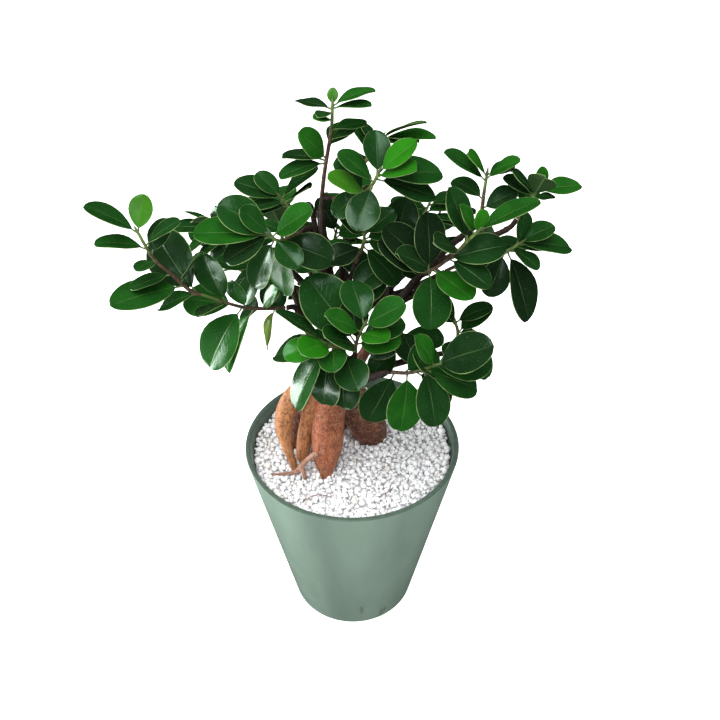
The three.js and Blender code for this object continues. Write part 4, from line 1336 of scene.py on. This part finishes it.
def bark_relief(wood, points, nearest):
    """How far the bark stands out at each point, in millimetres, and how much painted shade its
    creases and cracks get.
    """
    out, crack_shade = np.zeros(len(points)), np.zeros(len(points))
    for index, (point, sample) in enumerate(zip(points, nearest)):
        radius, along, limb = sample[3], sample[4], sample[6]
        lump = bark_noise(point, LUMP_NOISE)
        ripple = bark_noise(point, RIPPLE_NOISE)
        crease = max(1 - abs(bark_noise(point, RING_NOISE)) * RING_SHARPNESS, 0) ** 2
        crack = max(1 - abs(bark_noise(point, SPLIT_NOISE)) * SPLIT_SHARPNESS, 0) ** 2
        root = ROOT_LUMP * lump * min(radius / 6, 1.6) + ROOT_RIPPLE * ripple
        root -= CREASE_DEPTH * crease + CRACK_DEPTH * crack
        knot = max(math.cos(along * 2 * math.pi / KNOT_SPACING), 0) ** 12
        twig = KNOT_HEIGHT * knot + TWIG_LUMP * lump + TWIG_RIPPLE * ripple
        size = min(radius / 5, 1)
        out[index] = (root * size * (1 - limb) + twig * limb) * wood.relief
        # Painted shade in the creases and cracks, none on the limbs
        crack_shade[index] = max(crease, crack) * (1 - limb) * size
    return out, crack_shade


def model_trunk(wood, plant):
    """Roots, neck and limbs are grown together by a fine remesh, then given their bark."""
    routes = [*ROOTS, *THIN_ROOTS, NECK, *plant["limbs"]]
    tubes = [sampled(route, TUBE_STEP) for route in routes]
    obj = tube_object([[(*p[:3], p[3] + TUBE_SWELL) for p in tube] for tube in tubes], 4)
    modify(obj, "REMESH", mode="VOXEL", voxel_size=wood.voxel)
    modify(obj, "SMOOTH", factor=0.5, iterations=6)
    samples = wood_samples(plant)
    tree = KDTree(len(samples))
    for index, sample in enumerate(samples):
        tree.insert(sample[:3], index)
    tree.balance()
    points = corners(obj.data) / MM
    nearest = []
    for point in points:
        close = tree.find_n(point, NEAREST)
        best = min(close, key=lambda found: found[2] - samples[found[1]][3])
        nearest.append(samples[best[1]])
    nearest = np.array(nearest)
    out, crack_shade = bark_relief(wood, points, nearest)
    move_corners(obj.data, (points + normals(obj.data) * out[:, None]) * MM)
    set_attribute(obj.data, "redness", nearest[:, 5])
    set_attribute(obj.data, "limb", nearest[:, 6])
    # The hollow attribute carries the painted shade of the creases and cracks
    set_attribute(obj.data, "hollow", crack_shade)
    smooth(obj)
    finish_piece(obj, "grown_trunk", "bark", ["trunk"], bark_skin(wood))


def model_threads(wood):
    """Fine dead rootlets on the grains."""
    lie = wood.thread_height / MM
    dipped = lie - THREAD_DIP
    tubes = []
    for thread in THREADS:
        heights = [dipped, *([lie] * (len(thread) - 2)), dipped]
        route = [(x, y, z, THREAD_RADIUS) for (x, y), z in zip(thread, heights)]
        tubes.append([tuple(p) for p in sampled(route, BARK_STEP)])
    obj = tube_object(tubes, 1)
    smooth(obj)
    count = len(obj.data.vertices)
    for name, value in THREAD_LOOK.items():
        set_attribute(obj.data, name, np.full(count, value))
    finish_piece(obj, "rootlets", "bark", [], bpy.data.materials["ginseng_bark"])


# Leaves

# Where the blade's mesh has its rows of points
ACROSS = (-1, -0.972, -0.72, -0.45, -0.18, 0, 0.18, 0.45, 0.72, 0.972, 1)
ALONG = (0, 0.05, 0.13, 0.24, 0.36, 0.48, 0.6, 0.71, 0.8, 0.875, 0.93, 0.97, 1)
RIB_WIDTH = 0.1
BLADE_SMOOTH = math.radians(60)

# The blade's cupping, waving edge and twist, and in millimetres its rib and its foot
CUPPING = 0.32
WAVE_HEIGHT = 0.5
WAVES = 1.3
WAVE_SHIFT = 0.5
TWIST = 0.9
RISE_SPEED = 1.2
EDGE_THINNING = 0.5
RIB_DEPTH = 0.2
FOOT_WIDTH = 0.45

# Stem, stalk and bud: millimetres, and the bud's steps along the stem with their radii
STEM_SLIM = 0.85
STEM_STEP = 2.5
GREEN_TIP = 16
TIP_FRESHNESS = 1.1
STALK_DROP = 0.25
STALK_SINK = 0.15
STALK_RUN = 0.1
STALK_RADII = (0.8, 0.5, 0.5, 0.32)
BUD = ((-0.5, 0.9), (1.5, 0.85), (3.4, 0.5), (5, 0.12))

# Slots of the leaf materials
FACE, BACK, MARGIN, STEM, STALK = range(5)


def model_blade(leaves):
    """A flat blade: x across it from -1 to 1, y along it from 0 to 1, z to its faces."""
    clear_selection()
    bpy.ops.mesh.primitive_grid_add(
        x_subdivisions=len(ACROSS) - 1, y_subdivisions=len(ALONG) - 1, size=2)
    obj = bpy.context.object
    points = corners(obj.data)
    column = np.rint((points[:, 0] + 1) / 2 * (len(ACROSS) - 1)).astype(int)
    row = np.rint((points[:, 1] + 1) / 2 * (len(ALONG) - 1)).astype(int)
    points[:, 0] = np.array(ACROSS)[column]
    points[:, 1] = np.array(ALONG)[row]
    move_corners(obj.data, points)
    obj.data.uv_layers[0].name = "blade"
    for loop, uv in zip(obj.data.loops, obj.data.uv_layers[0].data):
        x, y, _ = points[loop.vertex_index]
        uv.uv = (0.5 + 0.5 * x, y)
    for face in obj.data.polygons:
        face.material_index = MARGIN if abs(face.center.x) > ACROSS[-2] else FACE
    for material in (leaf_skin(leaves), leaf_back_skin(leaves), margin_skin(leaves)):
        obj.data.materials.append(material)
    modify(obj, "SOLIDIFY", thickness=1, offset=0, use_rim=True, material_offset_rim=MARGIN)
    for face in obj.data.polygons:
        if face.normal.z < -0.5:
            face.material_index = BACK
    set_attribute(obj.data, "freshness", np.zeros(len(obj.data.vertices)))
    pick(obj)
    bpy.ops.object.shade_smooth_by_angle(angle=BLADE_SMOOTH)
    obj.name = "blade_pattern"
    return obj


def blade_points(leaves, leaf, pattern):
    """The pattern's points on this leaf: cupped, folded, waved and a little twisted."""
    across, t, face = pattern.T
    s = np.abs(across)
    cup = s * (1 + CUPPING - CUPPING * s * s)
    phase = WAVE_SHIFT * jitter(leaf.number + PHASE_DRAW)
    wave_height = WAVE_HEIGHT * jitter(leaf.number + WAVE_DRAW)
    wave = wave_height * np.sin(2 * np.pi * (WAVES * t + phase))
    twist = TWIST * jitter(leaf.number + TWIST_DRAW) * across * t
    thick = leaves.thickness / MM * (1 - EDGE_THINNING * s * s)
    rib = np.where((face < 0) & (s < RIB_WIDTH), -RIB_DEPTH * (1 - t), 0.0)
    rise = np.sin(np.pi * np.minimum(t * RISE_SPEED, 1) / 2)
    lift = face * thick + rib + (wave * across * s + twist) * rise
    return on_blade(leaf, t, across, lift, 0.0, FOOT_WIDTH, cup) * MM


def stalk_tube(leaf):
    """The stalk leaves its stem, sags a little, and thins into the blade's rib."""
    foot, inner = on_blade(leaf, np.array([0.0, STALK_RUN]), np.zeros(2), -STALK_SINK)
    middle = (leaf.root + foot) / 2 - leaf.up * STALK_DROP
    points = (leaf.root, middle, foot, inner)
    return [(*point, radius) for point, radius in zip(points, STALK_RADII)]


def bud_tube(shoot):
    """The pointed bud at a stem's tip."""
    tip = np.array(shoot["route"][-1], float)
    way = heading(shoot["route"], 1)
    return [(*(tip + way * step), radius) for step, radius in BUD]


def model_shoot(leaves, plant, shoot, pattern, materials):
    """One leafy shoot: its stem, bud and stalks, and a blade for each leaf."""
    own = [leaf for leaf in plant["leaves"] if leaf.shoot == shoot["name"]]
    points = sampled(stem_route(shoot), STEM_STEP)
    slim = [(*point[:3], point[3] * STEM_SLIM) for point in points]
    tubes = [slim, bud_tube(shoot)] + [stalk_tube(leaf) for leaf in own]
    stem = tube_object(tubes, 1, [STEM] + [STALK] * (len(tubes) - 1))
    for index, material in enumerate(materials):
        stem.data.materials[index] = material
    stem.data.uv_layers.new(name="blade")
    tip_gap = np.linalg.norm(corners(stem.data) / MM - shoot["route"][-1], axis=1)
    fresh = np.clip(TIP_FRESHNESS - tip_gap / GREEN_TIP, 0, 1)
    set_attribute(stem.data, "freshness", fresh)
    smooth(stem)
    places = corners(pattern.data)
    blades = []
    for leaf in own:
        blade = pattern.copy()
        blade.data = pattern.data.copy()
        bpy.context.collection.objects.link(blade)
        move_corners(blade.data, blade_points(leaves, leaf, places))
        set_attribute(blade.data, "freshness", np.full(len(places), max(leaf.freshness, 0)))
        blades.append(blade)
    pick(stem, *blades)
    bpy.ops.object.join()
    finish_piece(stem, "leaves_" + shoot["name"], "leaf", ["shoot_" + shoot["name"]])


def model_shoots(leaves, plant):
    pattern = model_blade(leaves)
    faces = [slot.material for slot in pattern.material_slots]
    materials = [*faces, stem_skin(), stalk_skin(leaves)]
    for shoot in plant["shoots"].values():
        model_shoot(leaves, plant, shoot, pattern, materials)
    bpy.data.objects.remove(pattern)


# Stage

# Each light's name, and the word that its settings begin with
LIGHTS = {"key_light": "key", "side_light": "side", "front_light": "front", "bounce_card": "card"}
LIGHT_SETTINGS = ("place", "size", "power")
SENSOR_WIDTH = 36


def set_stage(stage):
    """A pale floor, soft lights and the camera."""
    clear_selection()
    bpy.ops.mesh.primitive_plane_add(size=stage.floor_size, location=(0, 0, 0))
    floor = bpy.context.object
    floor.name = "studio_floor"
    floor.data.materials.append(floor_skin(stage))
    floor.visible_diffuse = False
    floor.visible_glossy = False
    above_card = Vector(stage.card_place) + Vector((0, 0, 1))
    for name, light in LIGHTS.items():
        place, size, power = [getattr(stage, f"{light}_{what}") for what in LIGHT_SETTINGS]
        add_softbox(name, place, size, power, above_card if light == "card" else stage.aim)
    world = bpy.data.worlds.new("studio_air")
    world.use_nodes = True
    background = world.node_tree.nodes["Background"]
    background.inputs["Color"].default_value = (1, 1, 1, 1)
    background.inputs["Strength"].default_value = stage.air
    world.cycles_visibility.glossy = False
    bpy.context.scene.world = world
    bpy.context.scene.view_settings.view_transform = "Standard"
    bpy.ops.object.camera_add(
        location=stage.camera_place,
        rotation=(math.pi / 2 - stage.camera_pitch, 0, -stage.camera_yaw))
    camera = bpy.context.object
    camera.name = "photo_view"
    camera.data.lens = stage.lens
    camera.data.sensor_width = SENSOR_WIDTH
    bpy.context.scene.camera = camera


def add_softbox(name, place, size, power, aim):
    bpy.ops.object.light_add(type="AREA", location=place)
    light = bpy.context.object
    light.name = name
    light.data.shape = "SQUARE"
    light.data.size = size
    light.data.energy = power
    way = Vector(aim) - Vector(place)
    light.rotation_euler = way.to_track_quat("-Z", "Y").to_euler()


# Settings


def length(name, description, default):
    return FloatProperty(
        name=name, description=description, default=default, unit="LENGTH", precision=4)


def tint(name, description, default):
    return FloatVectorProperty(
        name=name, description=description, default=default, subtype="COLOR", size=3,
        min=0, max=1)


def amount(name, description, default):
    return FloatProperty(name=name, description=description, default=default)


def tilt(name, description, degrees):
    return FloatProperty(
        name=name, description=description, default=math.radians(degrees), subtype="ANGLE")


def spot(name, description, default):
    return FloatVectorProperty(
        name=name, description=description, default=default, subtype="TRANSLATION")


class PotSettings(bpy.types.PropertyGroup):
    rim_radius: length("Rim radius", "Half the width over the rim", pot_high.x)
    base_radius: length("Base radius", "Half the width of the base", 46 * MM)
    height: length("Height", "From the floor to the rim", pot_high.z)
    wall: length("Wall", "Thickness of the wall", 3.6 * MM)
    floor: length("Floor", "Thickness of the bottom", 4 * MM)
    edge: length("Edge", "Rounding of the rim and the base", 0.9 * MM)
    sides: IntProperty(name="Sides", description="Faces round the tub", default=160, min=24)
    colour: tint("Colour", "Sage green of the outside", (0.175, 0.25, 0.2))
    rim_colour: tint("Rim colour", "Deeper green of the rim and inside", (0.08, 0.125, 0.095))


class FillingSettings(bpy.types.PropertyGroup):
    top: length("Top", "Height of the white grains", 139.6 * MM)
    grain_radius: length("Grain radius", "Half the size of a middling grain", 1.95 * MM)
    tries: IntProperty(name="Tries", description="How often a grain is dropped", default=9000)
    seed: IntProperty(name="Seed", description="Start of the random draw", default=11)
    grain_colour: tint("Grain colour", "White of the grains", (0.98, 0.985, 1))
    mix_colour: tint("Mix colour", "Brown of the potting mix", (0.05, 0.035, 0.025))


class WoodSettings(bpy.types.PropertyGroup):
    voxel: length("Voxel", "Size of the remesh that joins roots and limbs", 0.8 * MM)
    relief: amount("Relief", "Depth of the bark, as a share of its natural depth", 1.0)
    thread_height: length("Thread height", "Where the dead rootlets lie", 141.6 * MM)
    tan: tint("Tan", "Skin of the palest root", (0.5, 0.225, 0.085))
    red: tint("Red", "Skin of the middling roots", (0.38, 0.12, 0.055))
    dark_red: tint("Dark red", "Skin of the oldest root", (0.11, 0.042, 0.026))
    dry: tint("Dry", "Skin of the thin roots on the grains", (0.4, 0.22, 0.16))
    pale_crack: tint("Pale crack", "Dry edges of the rings", (0.68, 0.4, 0.26))
    twig: tint("Twig", "Bark of the limbs", (0.035, 0.02, 0.013))


class LeafSettings(bpy.types.PropertyGroup):
    thickness: length("Thickness", "Thickness at the rib", 0.5 * MM)
    gloss: amount("Gloss", "How much light the waxy face mirrors", 0.35)
    oldest: tint("Oldest", "Green of the oldest leaves", (0.007, 0.016, 0.007))
    grown: tint("Grown", "Green of grown leaves", (0.009, 0.056, 0.0075))
    young: tint("Young", "Green of young leaves", (0.018, 0.16, 0.005))
    yellowing: tint("Yellowing", "Colour of a leaf about to drop", (0.2, 0.2, 0.04))
    underside: tint("Underside", "Green of the undersides", (0.045, 0.11, 0.03))
    margin_colour: tint("Margin colour", "Edges, ribs and stalks", (0.2, 0.3, 0.1))


class StageSettings(bpy.types.PropertyGroup):
    floor_size: length("Floor size", "Width of the floor", 14)
    floor_colour: tint("Floor colour", "Paint of the floor", (0.9, 0.9, 0.9))
    floor_glow: amount("Floor glow", "Light from the floor itself", 0.65)
    air: amount("Air", "Strength of the light from all round", 1)
    key_place: spot("Key place", "Where the main light stands", (-0.25, -0.7, 1.7))
    key_size: length("Key size", "Width of the main light", 1.15)
    key_power: amount("Key power", "Watts of the main light", 28)
    side_place: spot("Side place", "Where the light on the left stands", (-1.35, 0.35, 0.25))
    side_size: length("Side size", "Width of the light on the left", 0.65)
    side_power: amount("Side power", "Watts of the light on the left", 31)
    front_place: spot(
        "Front place", "Where the light at the front left stands", (-0.9, -1.2, 0.45))
    front_size: length("Front size", "Width of the light at the front left", 0.9)
    front_power: amount("Front power", "Watts of the light at the front left", 5.5)
    card_place: spot("Card place", "Where the bounce card lies on the floor", (-0.62, -0.1, 0.01))
    card_size: length("Card size", "Width of the bounce card", 0.42)
    card_power: amount("Card power", "Watts that the bounce card sends up", 5.5)
    aim: spot("Aim", "What the lights point at", (0, 0, 0.22))
    camera_place: spot("Camera place", "Where the photo is taken from", (0, -0.43442, 0.55211))
    camera_pitch: tilt("Camera pitch", "How far the camera looks down", 37.55)
    camera_yaw: tilt("Camera yaw", "How far it turns to the right", 0.72)
    lens: amount("Lens", "Focal length in millimetres", 42)


# Operators


class FICUS_OT_pot(bpy.types.Operator):
    """Model the sage green pot"""

    bl_idname = "ficus.pot"
    bl_label = "Pot"

    def execute(self, context):
        model_pot(context.scene.ficus_pot)
        return {"FINISHED"}


class FICUS_OT_filling(bpy.types.Operator):
    """Dress the potting mix and heap the white grains on it"""

    bl_idname = "ficus.filling"
    bl_label = "Filling"

    def execute(self, context):
        dress_mix(context.scene.ficus_filling)
        model_perlite(context.scene.ficus_filling, context.scene.ficus_pot)
        return {"FINISHED"}


class FICUS_OT_wood(bpy.types.Operator):
    """Model the swollen roots, the limbs and the dead rootlets"""

    bl_idname = "ficus.wood"
    bl_label = "Roots and limbs"

    def execute(self, context):
        model_trunk(context.scene.ficus_wood, grow_plant())
        model_threads(context.scene.ficus_wood)
        return {"FINISHED"}


class FICUS_OT_shoots(bpy.types.Operator):
    """Model the leafy shoots"""

    bl_idname = "ficus.shoots"
    bl_label = "Leafy shoots"

    def execute(self, context):
        model_shoots(context.scene.ficus_leaves, grow_plant())
        return {"FINISHED"}


class FICUS_OT_stage(bpy.types.Operator):
    """Set up the floor, the lights and the camera"""

    bl_idname = "ficus.stage"
    bl_label = "Studio"

    def execute(self, context):
        set_stage(context.scene.ficus_stage)
        return {"FINISHED"}


class FICUS_PT_panel(bpy.types.Panel):
    """Lists the plant's pieces"""

    bl_idname = "FICUS_PT_panel"
    bl_label = "Ginseng Ficus"
    bl_space_type = "VIEW_3D"
    bl_region_type = "UI"
    bl_category = "Ginseng Ficus"

    def draw(self, context):
        for operator in OPERATORS:
            self.layout.operator(operator.bl_idname)


SETTINGS = {
    "ficus_pot": PotSettings,
    "ficus_filling": FillingSettings,
    "ficus_wood": WoodSettings,
    "ficus_leaves": LeafSettings,
    "ficus_stage": StageSettings,
}
OPERATORS = (FICUS_OT_pot, FICUS_OT_filling, FICUS_OT_wood, FICUS_OT_shoots, FICUS_OT_stage)
CLASSES = (*SETTINGS.values(), *OPERATORS, FICUS_PT_panel)


def register():
    for cls in CLASSES:
        bpy.utils.register_class(cls)
    for name, group in SETTINGS.items():
        setattr(bpy.types.Scene, name, PointerProperty(type=group))


def unregister():
    for name in SETTINGS:
        delattr(bpy.types.Scene, name)
    for cls in reversed(CLASSES):
        bpy.utils.unregister_class(cls)


def main():
    register()
    bpy.ops.ficus.pot()
    bpy.ops.ficus.filling()
    bpy.ops.ficus.wood()
    bpy.ops.ficus.shoots()
    bpy.ops.ficus.stage()


if __name__ == "__main__":
    main()
